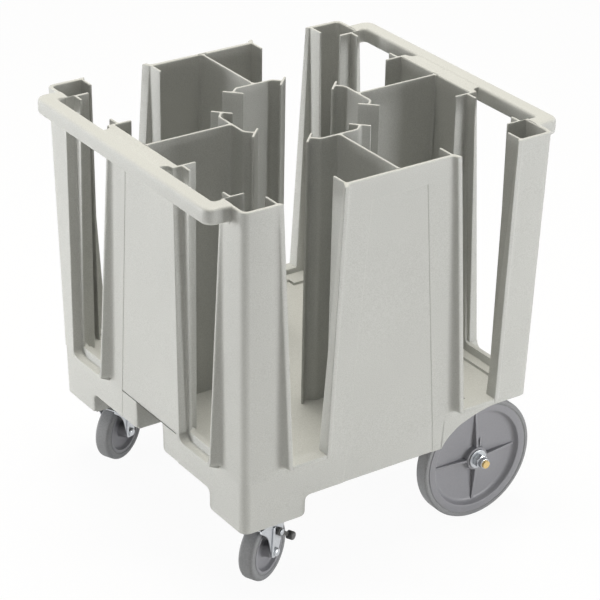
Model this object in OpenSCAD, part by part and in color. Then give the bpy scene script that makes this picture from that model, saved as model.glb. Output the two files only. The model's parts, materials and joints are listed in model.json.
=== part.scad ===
// Plate dispenser cart: one moulded body with four corner bays and a centre bay,
// two braked swivel casters in front and two large wheels on a through axle behind.
// X runs from the casters to the large wheels, Z up, origin on the ground under the body's centre.

/* [Body] */
// Height of the posts, panels and dividers above the ground
body_h = 800; // [700:5:860]
// Half length at the top, to the outer face of the corner posts
post_x = 341; // [335:1:350]
// Half width at the top, to the outer face of the corner posts
post_y = 345; // [340:1:352]
// Half length and half width at the top, to the outer face of the middle panels
panel_out = 335; // [332:1:336]
// Wall thickness of the moulding
wall = 8; // [6:0.5:9]
// Thickness of fins, arms and divider walls
rib_t = 4.6; // [4:0.2:6]
// Outer radius of the upright corners
corner_r = 18; // [14:1:22]
// Inward lean of the outer faces towards the ground, in degrees
draft = 1.34; // [1:0.02:1.5]

/* [Slots] */
// Half gap between the middle panel's centre and the side slot, at the top
side_slot_in_top = 129; // [125:1:133]
// The same at the sill
side_slot_in_sill = 159; // [155:1:163]
// Distance from the centre to the far edge of the side slot, at the top
side_slot_out_top = 257; // [253:1:261]
// The same at the sill
side_slot_out_sill = 232; // [228:1:236]
// End slot: near edge at the top
end_slot_in_top = 115; // [112:1:119]
// End slot: near edge at the sill
end_slot_in_sill = 147; // [143:1:151]
// End slot: far edge at the top
end_slot_out_top = 271; // [267:1:273]
// End slot: far edge at the sill
end_slot_out_sill = 249; // [245:1:253]
// Width of the raised lip around a slot
lip_w = 11.5; // [9:0.5:14]
// How far a side slot's lip stands out past the wall at its foot
side_lip_out = 20; // [18:0.5:23]
// How far an end slot's lip stands out past the wall at its foot
end_lip_out = 22; // [20:0.5:25]

/* [Base] */
// Height of the side slots' sills and of the ledge round the floor
sill_z = 260; // [258:1:264]
// Height of the end slots' sills
end_sill_z = 277; // [272:1:280]
// How far the bay floor lies below the ledge
floor_drop = 6; // [4:1:8]
// Width of the ledge, from the wall's inner face
ledge_w = 20; // [16:1:24]
// Height of the side lip's lower end
side_lip_z = 251; // [249:1:253]
// Height of the legs' lower edge
leg_z = 140; // [136:1:146]
// Height of the skirt's lower edge between the legs
skirt_z = 183; // [178:1:190]
// Height of the front notch, the raised rear edge and the floor's underside
raised_z = 246; // [243:1:248]
// Distance from the centre to the legs' inner side, along X
leg_x = 190; // [184:1:194]
// Distance from the centre to the legs' inner side, along Y
leg_y = 213; // [208:1:216]
// Half width of the front notch
notch_half = 47; // [42:1:54]
// Depth of the notch walls
notch_depth = 60; // [50:1:80]
// Thickness of the legs' inner walls
leg_wall = 6; // [4:0.5:6.5]
// Height of the caster pads
pad_z = 160; // [158:1:164]

/* [Dividers] */
// Distance from the centre to the cross bars
bar_at = 145.5; // [142:0.5:149]
// Half length of a cross bar
bar_half = 41.5; // [38:0.5:44]
// Length of the slanted ends of a cross bar
stub_l = 21.5; // [19:0.5:24]
// Half length of the flange across a slanted end
flange_half = 21; // [18:0.5:23]

/* [Fins and arms] */
// How far the fins stand in from the side walls
fin_l = 34; // [30:1:36]
// Place of the middle panel's fin
fin_in_at = 117; // [115:1:119]
// Place of the post's fin
fin_out_at = 267; // [264:1:270]
// Distance from the centre to the tip of the end walls' inward arms
arm_tip = 291; // [288:1:296]
// Place of the middle end panel's arm
arm_in_at = 112; // [109:1:114]
// Place of the post's arm
arm_out_at = 270; // [268:1:273]
// Thickness of the land around the end slots
land_t = 5; // [4:0.5:6]
// How far the land stands into the slot, at the top
land_top = 24; // [20:1:26]
// How far the land stands into the slot, at the sill
land_sill = 5; // [4:1:8]
// How far a land lies behind the post's face at the top
land_back_top = 19; // [17:0.5:21]
// How far a land lies behind the end lip's front at the sill
land_back_sill = 18; // [16:0.5:20]

/* [Handles] */
// Radius of the handle rail
rail_r = 18.5; // [16:0.5:20]
// Half length to the rail's axis
rail_x = 371; // [368:1:376]
// How far the rail's top stands above the posts
rail_rise = 3; // [1:0.5:6]
// Radius of the elbows' centre line
elbow_r = 20; // [19.5:0.5:24]
// Distance from the centre to the elbow's start
elbow_y = 269; // [265:1:271]
// Half width of the flat plate between rail and panel
plate_half = 98; // [92:1:102]
// Thickness of that plate
plate_t = 10; // [8:1:14]

/* [Rear wheels] */
// Diameter of a rear wheel
wheel_d = 254; // [240:1:256]
// Width of the tyre
wheel_w = 30.4; // [28:0.2:32]
// Distance of the axle from the centre, along X
axle_x = 223.5; // [220:0.5:227]
// Distance from the centre to the wheel's outer face
wheel_face = 321; // [318:0.5:322]
// Radius of the axle
axle_r = 8; // [7:0.5:9]
// Thickness of the tyre, from its seat to its tread
tyre_t = 11; // [9:0.5:15]
// Depth of the wheel's rim ring, from the tyre's seat inwards
rim_t = 15; // [12:0.5:19]
// Radius of the hub boss
hub_r = 24; // [22:0.5:27]
// Thickness of the wheel's disc
disc_t = 6; // [5:0.5:8]
// Ribs on each side of the disc
rib_count = 4; // [3:1:8]
// Outer radius of the wheel's bushing
bushing_r = 13; // [12:0.5:15]
// Thickness of the axle washer
washer_t = 2.5; // [2:0.1:3]
// Height of the axle nut
nut_h = 13; // [10:0.5:14]
// Width of the axle nut across its flats
nut_af = 24; // [22:0.5:27]
// Free end of the axle beyond the nut
axle_end = 13; // [8:0.5:15]
// Half width of the axle blocks
block_half = 30; // [26:1:34]
// Length of an axle block along the axle
block_l = 50; // [40:1:60]

/* [Casters] */
// Distance from the centre to the swivel axis, along X
swivel_x = 224; // [222:1:226]
// Distance from the centre to the swivel axis, along Y
swivel_y = 265; // [262:1:268]
// Rest heading of the casters, in degrees
heading = 25.5; // [0:0.5:40]
// Diameter of a caster wheel
caster_d = 127; // [120:1:128]
// Width of a caster wheel
caster_w = 32; // [28:1:33]
// Trail of the wheel behind the swivel axis
trail = 28; // [24:1:30]
// Thickness of the fork's legs
fork_t = 3; // [2.5:0.25:4]
// Gap between wheel and fork leg
fork_gap = 10; // [8:0.5:11]
// Half length of the mounting plate
plate_long = 44; // [42:1:46]
// Half width of the mounting plate
plate_short = 27; // [25:0.5:27.5]
// Thickness of the mounting plate
plate_h = 5; // [4:0.5:6]
// Radius of the swivel's housing
race_r = 26; // [24:0.5:27]
// Radius of the kingpin
kingpin_r = 6; // [5:0.5:7]
// Radius of the caster's axle bolt
bolt_r = 5; // [4:0.5:6]
// Radius of the lever's pivot pin
pivot_r = 3; // [2.5:0.25:4]

/* [Fits] */
// Running clearance round a turning pin
run_gap = 0.06; // [0.03:0.01:0.1]
// Clearance between a moving piece and its neighbour
side_gap = 0.5; // [0.4:0.05:0.8]
// Clearance between a wheel and the body
wheel_gap = 1.5; // [1:0.25:2]

/* [Hidden] */
$fn = 96;
// Overrun of cutting shapes
over = 5;
// A block big enough to cut with
big = 2 * body_h;
// Slots and lips are measured between the sill and the top
slot_h = body_h - sill_z;
floor_z = sill_z - floor_drop;
// Overlap of a flat wall with the round corner beside it
blend = 0.6;
// Where the front edge of the end sill steps up to its land, in its height
sill_step_share = 0.48;
// Start and end of the wheel arch along the side
arch_start = 127;
arch_end = 262;
// The arch's shape, as shares of its length and rise
arch_shares = [[0, 0], [0.02, 0.1], [0.11, 0.34], [0.28, 0.62], [0.46, 0.76], [0.63, 0.90],
  [0.80, 0.98], [1, 1]];
// Length of the rear wheel's hub
hub_l = 34.4;
// Boss on the axle block that spaces the wheel
boss_l = 6;
// Rounding of the tyres' edges
tyre_edge = 4;
// Height of the swivel's fixed half
race_h = 3;
// Space between a caster's wheel and the fork's crown
crown_gap = 4;
// Half length of the fork's crown round the swivel
crown_half = 28;
// How far the crown reaches over the front of the tyre
crown_front = 84;
// Radius of the fork legs' lower end
leg_end_r = 14;
// Radius of the caster tyre's seat and of the wheel's hub
caster_rim_r = 48;
caster_hub_r = 14;
// Caster plate bolts and their places, as shares of the plate
plate_bolt_r = 4;
hole_x_share = 0.6;
hole_y_share = 0.8;
// Brake lever: its pivot and pedal seen from the wheel's axle
pivot_s = 9;
pivot_t = 41;
pedal_s = 44;
pedal_t = 15;
lever_t = 6;
boss_r = 7;
pedal_r = 8.5;
pedal_l = 14;
wheel_r = wheel_d / 2;
rim_r = wheel_r - tyre_t;
rim_in_r = rim_r - rim_t;
side_lip_sill = post_face(post_y, raised_z) + side_lip_out;
end_lip_sill = post_face(post_x, raised_z) + end_lip_out;
land_x_top = post_x - land_back_top;
land_x_sill = end_lip_sill - land_back_sill;
caster_r = caster_d / 2;
panel_in = panel_out - wall;
resin = [0.80, 0.80, 0.77];
zinc = [0.72, 0.73, 0.75];
grey = [0.55, 0.55, 0.58];
dark = [0.28, 0.28, 0.28];
brass = [0.85, 0.70, 0.42];

// Faces and how they lean

// Half distance to a post's outer face at a height
function post_face(top, z) = top - (body_h - z) * tan(draft);
// Half distance to a middle panel's outer face at a height
function panel_face(top, z) =
  panel_out - (body_h - z) / (body_h - raised_z) * (panel_out - post_face(top, raised_z));
// A value that runs evenly from the top to the sill, and on below it
function along(top, sill, z) = sill + (top - sill) * (z - sill_z) / slot_h;

// A wall seen from its end, as a polygon of distance and height
module wall_profile(out_top, out_low, t, low) {
  polygon([[out_top, body_h], [out_top - t, body_h], [out_low - t, low], [out_low, low]]);
}

// Extrudes a profile of distance and height along the wall, centred
module along_wall(length) {
  rotate([90, 0, 0]) linear_extrude(length, center = true) children();
}

// Extrudes an outline of place and height through the wall
module through_wall() {
  rotate([90, 0, 90]) linear_extrude(big, center = true) children();
}

// Outline of one upright strip between two leaning edges
module strip(in_top, in_sill, out_top, out_sill, low) {
  polygon([[along(in_top, in_sill, low), low], [along(out_top, out_sill, low), low],
    [out_top, body_h], [in_top, body_h]]);
}

// Profile of a lip from the wall's inner face to its front
module lip_profile(face_top, face_low, front_top, front_sill, low) {
  polygon([[face_top - wall, body_h], [face_low - wall, low],
    [along(front_top, front_sill, low), low], [front_top, body_h]]);
}

// One upright wall on the +X side, with a lip along each slot edge
module end_wall(in_top, in_sill, out_top, out_sill, face_top, lip_at_in, lip_at_out) {
  face_low = post_face(post_x, raised_z);
  intersection() {
    along_wall(big) wall_profile(face_top, face_low, wall, raised_z);
    through_wall() strip(in_top, in_sill, out_top, out_sill, raised_z);
  }
  if (lip_at_in) end_lip(in_top, in_sill, face_top);
  if (lip_at_out) end_lip(out_top - lip_w, out_sill - lip_w, face_top);
}

// Lip beside an end slot, from the wall's inner face to its front
module end_lip(from_top, from_sill, face_top) {
  intersection() {
    along_wall(big) lip_profile(face_top, post_face(post_x, raised_z), post_x, end_lip_sill,
      raised_z);
    through_wall() strip(from_top, from_sill, from_top + lip_w, from_sill + lip_w, raised_z);
  }
}

// The same on the +Y side, made along X and turned
module side_wall(in_top, in_sill, out_top, out_sill, face_top, lip_at_in, lip_at_out) {
  face_low = post_face(post_y, raised_z);
  rotate([0, 0, 90]) mirror([0, 1, 0]) {
    intersection() {
      along_wall(big) wall_profile(face_top, face_low, wall, raised_z);
      through_wall() strip(in_top, in_sill, out_top, out_sill, raised_z);
    }
    intersection() {
      along_wall(big) lip_profile(face_top, face_low, post_y, side_lip_sill, side_lip_z);
      through_wall() {
        if (lip_at_in) strip(in_top, in_sill, in_top + lip_w, in_sill + lip_w, raised_z);
        if (lip_at_out) strip(out_top - lip_w, out_sill - lip_w, out_top, out_sill, raised_z);
      }
    }
  }
}

// A thin upright plate between two plan points
module plate_between(a, b, t, low, high) {
  run = b - a;
  translate([a[0], a[1], low]) rotate([0, 0, atan2(run[1], run[0])])
    translate([0, -t / 2, 0]) cube([norm(run), t, high - low]);
}

// The land in front of an end slot: it moves outwards and narrows towards the sill
module land(in_top, in_sill, side) {
  in_low = along(in_top, in_sill, end_sill_z);
  hull() {
    translate([land_x_top - land_t, min(in_top, in_top + side * land_top), body_h - land_t])
      cube([land_t, land_top, land_t]);
    translate([land_x_sill - land_t, min(in_low, in_low + side * land_sill), end_sill_z])
      cube([land_t, land_sill, land_t]);
  }
}

// Middle end panel on the +X side with its two inward arms and lands
module end_panel() {
  color(resin) {
    for (s = [0, 1]) mirror([0, s, 0]) {
      end_wall(0, 0, end_slot_in_top, end_slot_in_sill, panel_out, false, true);
      plate_between([panel_in + rib_t / 2, arm_in_at], [arm_tip, arm_in_at], rib_t, sill_z, body_h);
      land(end_slot_in_top, end_slot_in_sill, 1);
    }
  }
}

// Middle side panel on the +Y side with its two fins
module side_panel() {
  color(resin) {
    for (s = [0, 1]) mirror([s, 0, 0]) {
      side_wall(0, 0, side_slot_in_top, side_slot_in_sill, panel_out, false, true);
      plate_between([fin_in_at, panel_in + rib_t / 2], [fin_in_at, panel_in - fin_l], rib_t,
        sill_z, body_h);
    }
  }
}

// Everything inside the posts' outer faces, with round upright corners
module envelope(low) {
  x_low = post_face(post_x, low);
  y_low = post_face(post_y, low);
  hull() for (sx = [-1, 1], sy = [-1, 1]) {
    translate([sx * (post_x - corner_r), sy * (post_y - corner_r), body_h])
      cylinder(r = corner_r, h = over, $fn = 64);
    translate([sx * (x_low - corner_r), sy * (y_low - corner_r), low])
      cylinder(r = corner_r, h = over, $fn = 64);
  }
}

// Corner post in the +X +Y quarter: two walls, the round corner, a fin, an arm and a land
module corner_post() {
  in_x = post_x - corner_r;
  in_y = post_y - corner_r;
  low_x = post_face(post_x, raised_z) - corner_r;
  low_y = post_face(post_y, raised_z) - corner_r;
  sill_x = post_face(post_x, sill_z) - corner_r;
  sill_y = post_face(post_y, sill_z) - corner_r;
  color(resin) {
    end_wall(end_slot_out_top, end_slot_out_sill, in_y + blend, sill_y + blend, post_x, true, false);
    side_wall(side_slot_out_top, side_slot_out_sill, in_x + blend, sill_x + blend, post_y,
      true, false);
    // round corner between the two walls
    intersection() {
      difference() {
        envelope(leg_z);
        hull() {
          translate([in_x, in_y, body_h]) cylinder(r = corner_r - wall, h = over, $fn = 64);
          translate([low_x, low_y, raised_z - over])
            cylinder(r = corner_r - wall, h = over, $fn = 64);
        }
      }
      hull() {
        translate([in_x, in_y, body_h - over]) cube([big, big, over]);
        translate([low_x, low_y, raised_z]) cube([big, big, over]);
      }
    }
    plate_between([fin_out_at, post_y - wall - fin_l - rib_t / 2],
      [fin_out_at, post_y - wall + rib_t / 2], rib_t, sill_z, body_h);
    plate_between([arm_tip, arm_out_at], [post_x - wall + rib_t / 2, arm_out_at], rib_t,
      sill_z, body_h);
    land(end_slot_out_top, end_slot_out_sill, -1);
  }
}

// Divider on the +X side: wall, cross bar, slanted ends and their flanges
module divider() {
  ledge_in = post_face(post_x, raised_z) - wall - ledge_w;
  tip = [bar_at - rib_t / 2 - stub_l * cos(45), bar_half + stub_l * sin(45)];
  along_wall(rib_t) polygon([[bar_at, floor_z], [ledge_in, floor_z], [ledge_in, sill_z],
    [panel_face(post_x, sill_z) - wall, sill_z], [panel_in, body_h], [bar_at, body_h]]);
  translate([bar_at - rib_t, -bar_half, floor_z]) cube([rib_t, 2 * bar_half, body_h - floor_z]);
  for (s = [0, 1]) mirror([0, s, 0]) {
    plate_between([bar_at - rib_t / 2, bar_half], tip, rib_t, floor_z, body_h);
    plate_between(tip + flange_half * [cos(45), sin(45)], tip - flange_half * [cos(45), sin(45)],
      rib_t, floor_z, body_h);
  }
}

// Plate of the bays' floor, open over the rear wheels
module floor_pan() {
  color(resin) difference() {
    linear_extrude_from(raised_z, floor_z) floor_outline();
    wheel_pockets();
  }
}

// Ledge along the +X end of the floor
module end_ledge() {
  x = post_face(post_x, raised_z) - wall;
  color(resin) linear_extrude_from(floor_z, sill_z) intersection() {
    floor_outline();
    translate([x - ledge_w, -big / 2]) square([ledge_w, big]);
  }
}

// Ledge along the +Y side, wider over the rear wheel
module side_ledge() {
  x = post_face(post_x, raised_z) - wall;
  y = post_face(post_y, raised_z) - wall;
  wheel_in = wheel_face - wheel_w - wheel_gap;
  hump = sqrt(pow(wheel_r + wheel_gap, 2) - pow(floor_z - wheel_r, 2)) + rib_t;
  color(resin) difference() {
    linear_extrude_from(floor_z, sill_z) {
      translate([ledge_w - x, y - ledge_w]) square([2 * (x - ledge_w), ledge_w]);
      translate([axle_x - hump, wheel_in - rib_t]) square([2 * hump, y - wheel_in + rib_t]);
    }
    wheel_pockets();
  }
}

// Outline of the floor
module floor_outline() {
  cut_corner_plate(post_face(post_x, raised_z) - wall, post_face(post_y, raised_z) - wall,
    corner_r - wall);
}

// Round spaces over the rear wheels
module wheel_pockets() {
  wheel_in = wheel_face - wheel_w - wheel_gap;
  for (s = [0, 1]) mirror([0, s, 0]) translate([axle_x, wheel_in, wheel_r]) rotate([-90, 0, 0])
    cylinder(r = wheel_r + wheel_gap, h = big);
}

// Extrudes an outline between two heights
module linear_extrude_from(low, high) {
  translate([0, 0, low]) linear_extrude(high - low) children();
}

// A plate's outline with its corners cut off
module cut_corner_plate(x, y, c) {
  polygon([[x - c, y], [c - x, y], [-x, y - c], [-x, c - y],
    [c - x, -y], [x - c, -y], [x, c - y], [x, y - c]]);
}

// One wall of the skirt seen from its end
module skirt_profile(top, low, high) {
  polygon([[post_face(top, low) - wall, low], [post_face(top, low), low],
    [post_face(top, high), high], [post_face(top, high) - wall, high]]);
}

// A slot sill seen from its end: a ledge inside, a lip outside
module sill_profile(top, front, lip_low) {
  polygon([[post_face(top, raised_z) - wall, raised_z], [post_face(top, raised_z), raised_z],
    [post_face(top, lip_low), lip_low], [along(top, front, lip_low), lip_low],
    [front, sill_z], [post_face(top, raised_z) - wall, sill_z]]);
}

// Sill of an end slot: a shelf in front, a riser behind it, and ends that lean with the slot
module end_sill() {
  step_z = raised_z + (end_sill_z - raised_z) * sill_step_share;
  intersection() {
    along_wall(big) polygon([[post_face(post_x, raised_z) - wall, raised_z],
      [along(post_x, end_lip_sill, raised_z), raised_z],
      [along(post_x, end_lip_sill, step_z), step_z], [land_x_sill, step_z],
      [land_x_sill, end_sill_z], [post_face(post_x, raised_z) - wall, end_sill_z]]);
    through_wall() intersection() {
      strip(end_slot_in_top, end_slot_in_sill, end_slot_out_top, end_slot_out_sill, raised_z);
      translate([0, raised_z]) square([big, end_sill_z - raised_z]);
    }
  }
}

// Skirt on the -Y or +Y side, made on the +Y side: band, wheel arch and two sills
module side_skirt() {
  in_low = along(side_slot_in_top, side_slot_in_sill, raised_z);
  out_low = along(side_slot_out_top, side_slot_out_sill, raised_z);
  color(resin) difference() {
    rotate([0, 0, 90]) mirror([0, 1, 0]) {
      translate([0, (out_low - leg_x) / 2, 0]) along_wall(out_low + leg_x)
        skirt_profile(post_y, skirt_z, raised_z);
      for (s = [-1, 1]) translate([0, s * (in_low + out_low) / 2, 0])
        along_wall(out_low - in_low) sill_profile(post_y, side_lip_sill, side_lip_z);
    }
    translate([0, -big / 2, 0]) rotate([-90, 0, 0]) mirror([0, 1, 0]) linear_extrude(big * 2)
      arch_outline();
  }
}

// Outline of the wheel arch in length and height
module arch_outline() {
  run = arch_end - arch_start;
  rise = raised_z - skirt_z;
  polygon(concat([[arch_start, skirt_z - over]],
    [for (p = arch_shares) [arch_start + p[0] * run, skirt_z + p[1] * rise]],
    [[arch_end, skirt_z - over]]));
}

// Front skirt: two bands with notch walls, and two sills
module front_skirt() {
  color(resin) mirror([1, 0, 0]) for (s = [0, 1]) mirror([0, s, 0]) {
    translate([0, (notch_half + leg_y) / 2, 0]) along_wall(leg_y - notch_half)
      skirt_profile(post_x, skirt_z, raised_z);
    translate([post_face(post_x, skirt_z) - wall - notch_depth, notch_half, skirt_z])
      cube([notch_depth + wall / 2, wall, raised_z - skirt_z]);
    end_sill();
  }
}

// Rear sills
module rear_skirt() {
  color(resin) for (s = [0, 1]) mirror([0, s, 0]) end_sill();
}

// Front leg in the -X +Y corner, made in the +X +Y one: walls, inner walls and the caster pad
module leg() {
  inner_x = post_face(post_x, leg_z) - wall;
  inner_y = post_face(post_y, leg_z) - wall;
  color(resin) difference() {
    intersection() {
      envelope(leg_z);
      translate([leg_x, leg_y, leg_z]) cube([big, big, raised_z - leg_z]);
    }
    for (z = [pad_z - raised_z, pad_z + wall]) translate([leg_x + leg_wall, leg_y + leg_wall, z])
      cube([inner_x - leg_x - leg_wall, inner_y - leg_y - leg_wall, raised_z]);
    translate([swivel_x, swivel_y, pad_z - over]) plate_holes(2 * over + wall);
  }
}

// Bolt holes of a caster plate
module plate_holes(h) {
  for (sx = [-1, 1], sy = [-1, 1])
    translate([sx * plate_short * hole_x_share, sy * plate_long * hole_y_share, 0])
      cylinder(r = plate_bolt_r, h = h);
}

// Handle rail at the +X end with its elbows and the flat plate to the panel
module handle() {
  rail_z = body_h + rail_rise - rail_r;
  color(resin) {
    difference() {
      union() {
        translate([rail_x, 0, rail_z]) rotate([90, 0, 0])
          cylinder(r = rail_r, h = 2 * elbow_y, center = true);
        for (s = [0, 1]) mirror([0, s, 0]) translate([rail_x - elbow_r, elbow_y, rail_z]) {
          rotate_extrude(angle = 90) translate([elbow_r, 0]) circle(rail_r);
          translate([0, elbow_r, 0]) rotate([0, -90, 0])
            cylinder(r = rail_r, h = rail_x - elbow_r - post_x + wall);
        }
      }
      envelope(leg_z);
      for (s = [0, 1]) mirror([0, s, 0]) end_lip(end_slot_out_top, end_slot_out_sill, post_x);
    }
    along_wall(2 * plate_half) polygon([[panel_out, body_h], [rail_x, body_h],
      [rail_x, body_h - plate_t], [panel_face(post_x, body_h - plate_t), body_h - plate_t]]);
  }
}

// Axle block under the floor on the +Y side, with a boss that spaces the wheel
module axle_block() {
  hub_in = wheel_face - hub_l - side_gap;
  y = hub_in - boss_l;
  color(resin) difference() {
    union() {
      translate([axle_x, y, wheel_r]) rotate([90, 0, 0]) cylinder(r = block_half, h = block_l);
      translate([axle_x - block_half, y - block_l, wheel_r])
        cube([2 * block_half, block_l, raised_z - wheel_r]);
      translate([axle_x, hub_in, wheel_r]) rotate([90, 0, 0])
        cylinder(r = bushing_r + rib_t, h = boss_l + over);
    }
    translate([axle_x, 0, wheel_r]) rotate([-90, 0, 0])
      cylinder(r = axle_r + run_gap, h = big);
  }
}

// Through axle
module axle() {
  l = wheel_face + side_gap + washer_t + nut_h + axle_end;
  color(brass) translate([axle_x, 0, wheel_r]) rotate([90, 0, 0])
    cylinder(r = axle_r, h = 2 * l, center = true);
}

// Places its children on the axle at a distance outwards, on both sides
module on_axle(y) {
  for (s = [0, 1]) mirror([0, s, 0]) translate([axle_x, y, wheel_r]) rotate([-90, 0, 0]) children();
}

module axle_washers() {
  color(zinc) on_axle(wheel_face + side_gap) difference() {
    cylinder(r = hub_r - rib_t, h = washer_t);
    translate([0, 0, -over]) cylinder(r = axle_r, h = washer_t + 2 * over);
  }
}

module axle_nuts() {
  color(zinc) on_axle(wheel_face + side_gap + washer_t) difference() {
    cylinder(r = nut_af / 2 / cos(30), h = nut_h, $fn = 6);
    translate([0, 0, -over]) cylinder(r = axle_r, h = nut_h + 2 * over);
  }
}

// Puts a wheel, made with its outer face at zero and its inner side upwards, on the +Y side
module at_wheel() {
  translate([axle_x, wheel_face, wheel_r]) rotate([90, 0, 0]) children();
}

module rear_tyre() {
  e = tyre_edge;
  color(grey) at_wheel() rotate_extrude($fn = 128) polygon([[rim_r, 0], [wheel_r - e, 0],
    [wheel_r, e], [wheel_r, wheel_w - e], [wheel_r - e, wheel_w], [rim_r, wheel_w]]);
}

// Ribbed wheel centre
module rear_wheel() {
  mid = wheel_w / 2;
  color(grey) at_wheel() difference() {
    union() {
      rotate_extrude($fn = 128) polygon([[0, 0], [hub_r, 0], [hub_r, mid - disc_t / 2],
        [rim_in_r, mid - disc_t / 2], [rim_in_r, 0], [rim_r, 0], [rim_r, wheel_w],
        [rim_in_r, wheel_w], [rim_in_r, mid + disc_t / 2], [hub_r, mid + disc_t / 2],
        [hub_r, hub_l], [0, hub_l]]);
      for (i = [0 : rib_count - 1]) rotate([0, 0, i * 360 / rib_count])
        rotate([90, 0, 0]) translate([0, 0, -rib_t / 2]) linear_extrude(rib_t)
          polygon([[hub_r - rib_t, rib_t / 2], [hub_r, rib_t / 2], [rim_in_r + rib_t, mid - rib_t],
            [rim_in_r + rib_t, mid + rib_t], [hub_r, wheel_w - rib_t / 2],
            [hub_r - rib_t, wheel_w - rib_t / 2]]);
    }
    translate([0, 0, -over]) cylinder(r = bushing_r, h = big);
  }
}

module wheel_bushing() {
  color(dark) at_wheel() difference() {
    cylinder(r = bushing_r, h = hub_l);
    translate([0, 0, -over]) cylinder(r = axle_r + run_gap, h = big);
  }
}

// Caster heights, from the pad down
plate_z = pad_z - plate_h;
race_z = plate_z - race_h;
crown_z = caster_d + crown_gap;
leg_in = caster_w / 2 + fork_gap;
leg_out = leg_in + fork_t;

// Caster mounting plate with the fixed half of the swivel, for the +Y caster
module caster_plate() {
  color(zinc) translate([-swivel_x, swivel_y, 0]) difference() {
    union() {
      translate([-plate_short, -plate_long, plate_z])
        cube([2 * plate_short, 2 * plate_long, plate_h]);
      translate([0, 0, race_z]) cylinder(r = race_r, h = race_h);
    }
    translate([0, 0, race_z - over]) cylinder(r = kingpin_r, h = big);
    translate([0, 0, race_z]) plate_holes(big);
  }
}

// Bolts of a caster plate: heads below the plate, nuts on the pad
module plate_bolts() {
  color(zinc) translate([-swivel_x, swivel_y, 0]) {
    for (sx = [-1, 1], sy = [-1, 1])
      translate([sx * plate_short * hole_x_share, sy * plate_long * hole_y_share, 0]) {
        translate([0, 0, plate_z - plate_bolt_r])
          cylinder(r = 2 * plate_bolt_r, h = plate_bolt_r, $fn = 6);
        translate([0, 0, plate_z]) cylinder(r = plate_bolt_r, h = plate_h + wall);
        translate([0, 0, pad_z + wall]) cylinder(r = 2 * plate_bolt_r, h = plate_bolt_r, $fn = 6);
      }
  }
}

// Kingpin with its head under the fork's crown
module kingpin() {
  head = kingpin_r * 2 / 3;
  low = crown_z - side_gap - head;
  color(zinc) translate([-swivel_x, swivel_y, 0]) {
    translate([0, 0, low]) cylinder(r = kingpin_r, h = pad_z - low);
    translate([0, 0, low]) cylinder(r = kingpin_r + head, h = head);
  }
}

// Puts a caster's pieces, made with the wheel trailing towards -X, at the +Y or -Y swivel
module at_swivel(side) {
  translate([-swivel_x, side * swivel_y, 0]) rotate([0, 0, heading]) children();
}

// Puts children on the caster's wheel axle, lying along Y
module at_caster_axle() {
  translate([-trail, 0, caster_r]) rotate([90, 0, 0]) children();
}

// Outline of a fork leg in local length and height
module fork_leg_outline() {
  difference() {
    union() {
      polygon([[-crown_front, crown_z + fork_t], [crown_half, crown_z + fork_t],
        [crown_half, crown_z - fork_t], [-trail + leg_end_r, caster_r],
        [-trail - leg_end_r, caster_r], [-trail - leg_end_r, crown_z - crown_half],
        [-crown_front, crown_z - 3 * fork_t]]);
      translate([-trail, caster_r]) circle(leg_end_r);
    }
    translate([-trail, caster_r]) circle(bolt_r);
  }
}

module fork(side) {
  color(zinc) at_swivel(side) difference() {
    union() {
      translate([-crown_front, -leg_out, crown_z])
        cube([crown_front + crown_half, 2 * leg_out, fork_t]);
      for (y = [leg_out, -leg_in]) translate([0, y, 0]) rotate([90, 0, 0])
        linear_extrude(fork_t) fork_leg_outline();
      translate([0, 0, crown_z + fork_t])
        cylinder(r = race_r, h = race_z - side_gap - crown_z - fork_t);
    }
    translate([0, 0, crown_z - over]) cylinder(r = kingpin_r + run_gap, h = big);
  }
}

module caster_tyre(side) {
  e = tyre_edge;
  w = caster_w / 2;
  color(grey) at_swivel(side) at_caster_axle() rotate_extrude()
    polygon([[caster_rim_r, -w], [caster_r - e, -w], [caster_r, e - w], [caster_r, w - e],
      [caster_r - e, w], [caster_rim_r, w]]);
}

module caster_wheel(side) {
  w = caster_w / 2;
  color(grey) at_swivel(side) at_caster_axle() difference() {
    rotate_extrude() polygon([[0, side_gap - leg_in], [caster_hub_r, side_gap - leg_in],
      [caster_hub_r, -disc_t], [caster_rim_r - disc_t, -disc_t], [caster_rim_r - disc_t, -w],
      [caster_rim_r, -w], [caster_rim_r, w], [caster_rim_r - disc_t, w],
      [caster_rim_r - disc_t, disc_t], [caster_hub_r, disc_t], [caster_hub_r, leg_in - side_gap],
      [0, leg_in - side_gap]]);
    cylinder(r = bolt_r + run_gap, h = big, center = true);
  }
}

// Caster's axle bolt with its head and nut
module caster_axle(side) {
  color(zinc) at_swivel(side) at_caster_axle() {
    cylinder(r = bolt_r, h = 2 * leg_out, center = true);
    translate([0, 0, leg_out]) cylinder(r = 2 * bolt_r, h = bolt_r, $fn = 6);
    mirror([0, 0, 1]) translate([0, 0, leg_out]) cylinder(r = 2 * bolt_r, h = bolt_r, $fn = 6);
  }
}

// Pin of the brake lever, on the fork leg's outer side
module lever_pin(side) {
  color(zinc) at_swivel(side) translate([-trail + pivot_s, -leg_out, caster_r + pivot_t])
    rotate([90, 0, 0]) {
      cylinder(r = pivot_r, h = 2 * side_gap + lever_t);
      translate([0, 0, 2 * side_gap + lever_t]) cylinder(r = 2 * pivot_r, h = pivot_r);
    }
}

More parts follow.
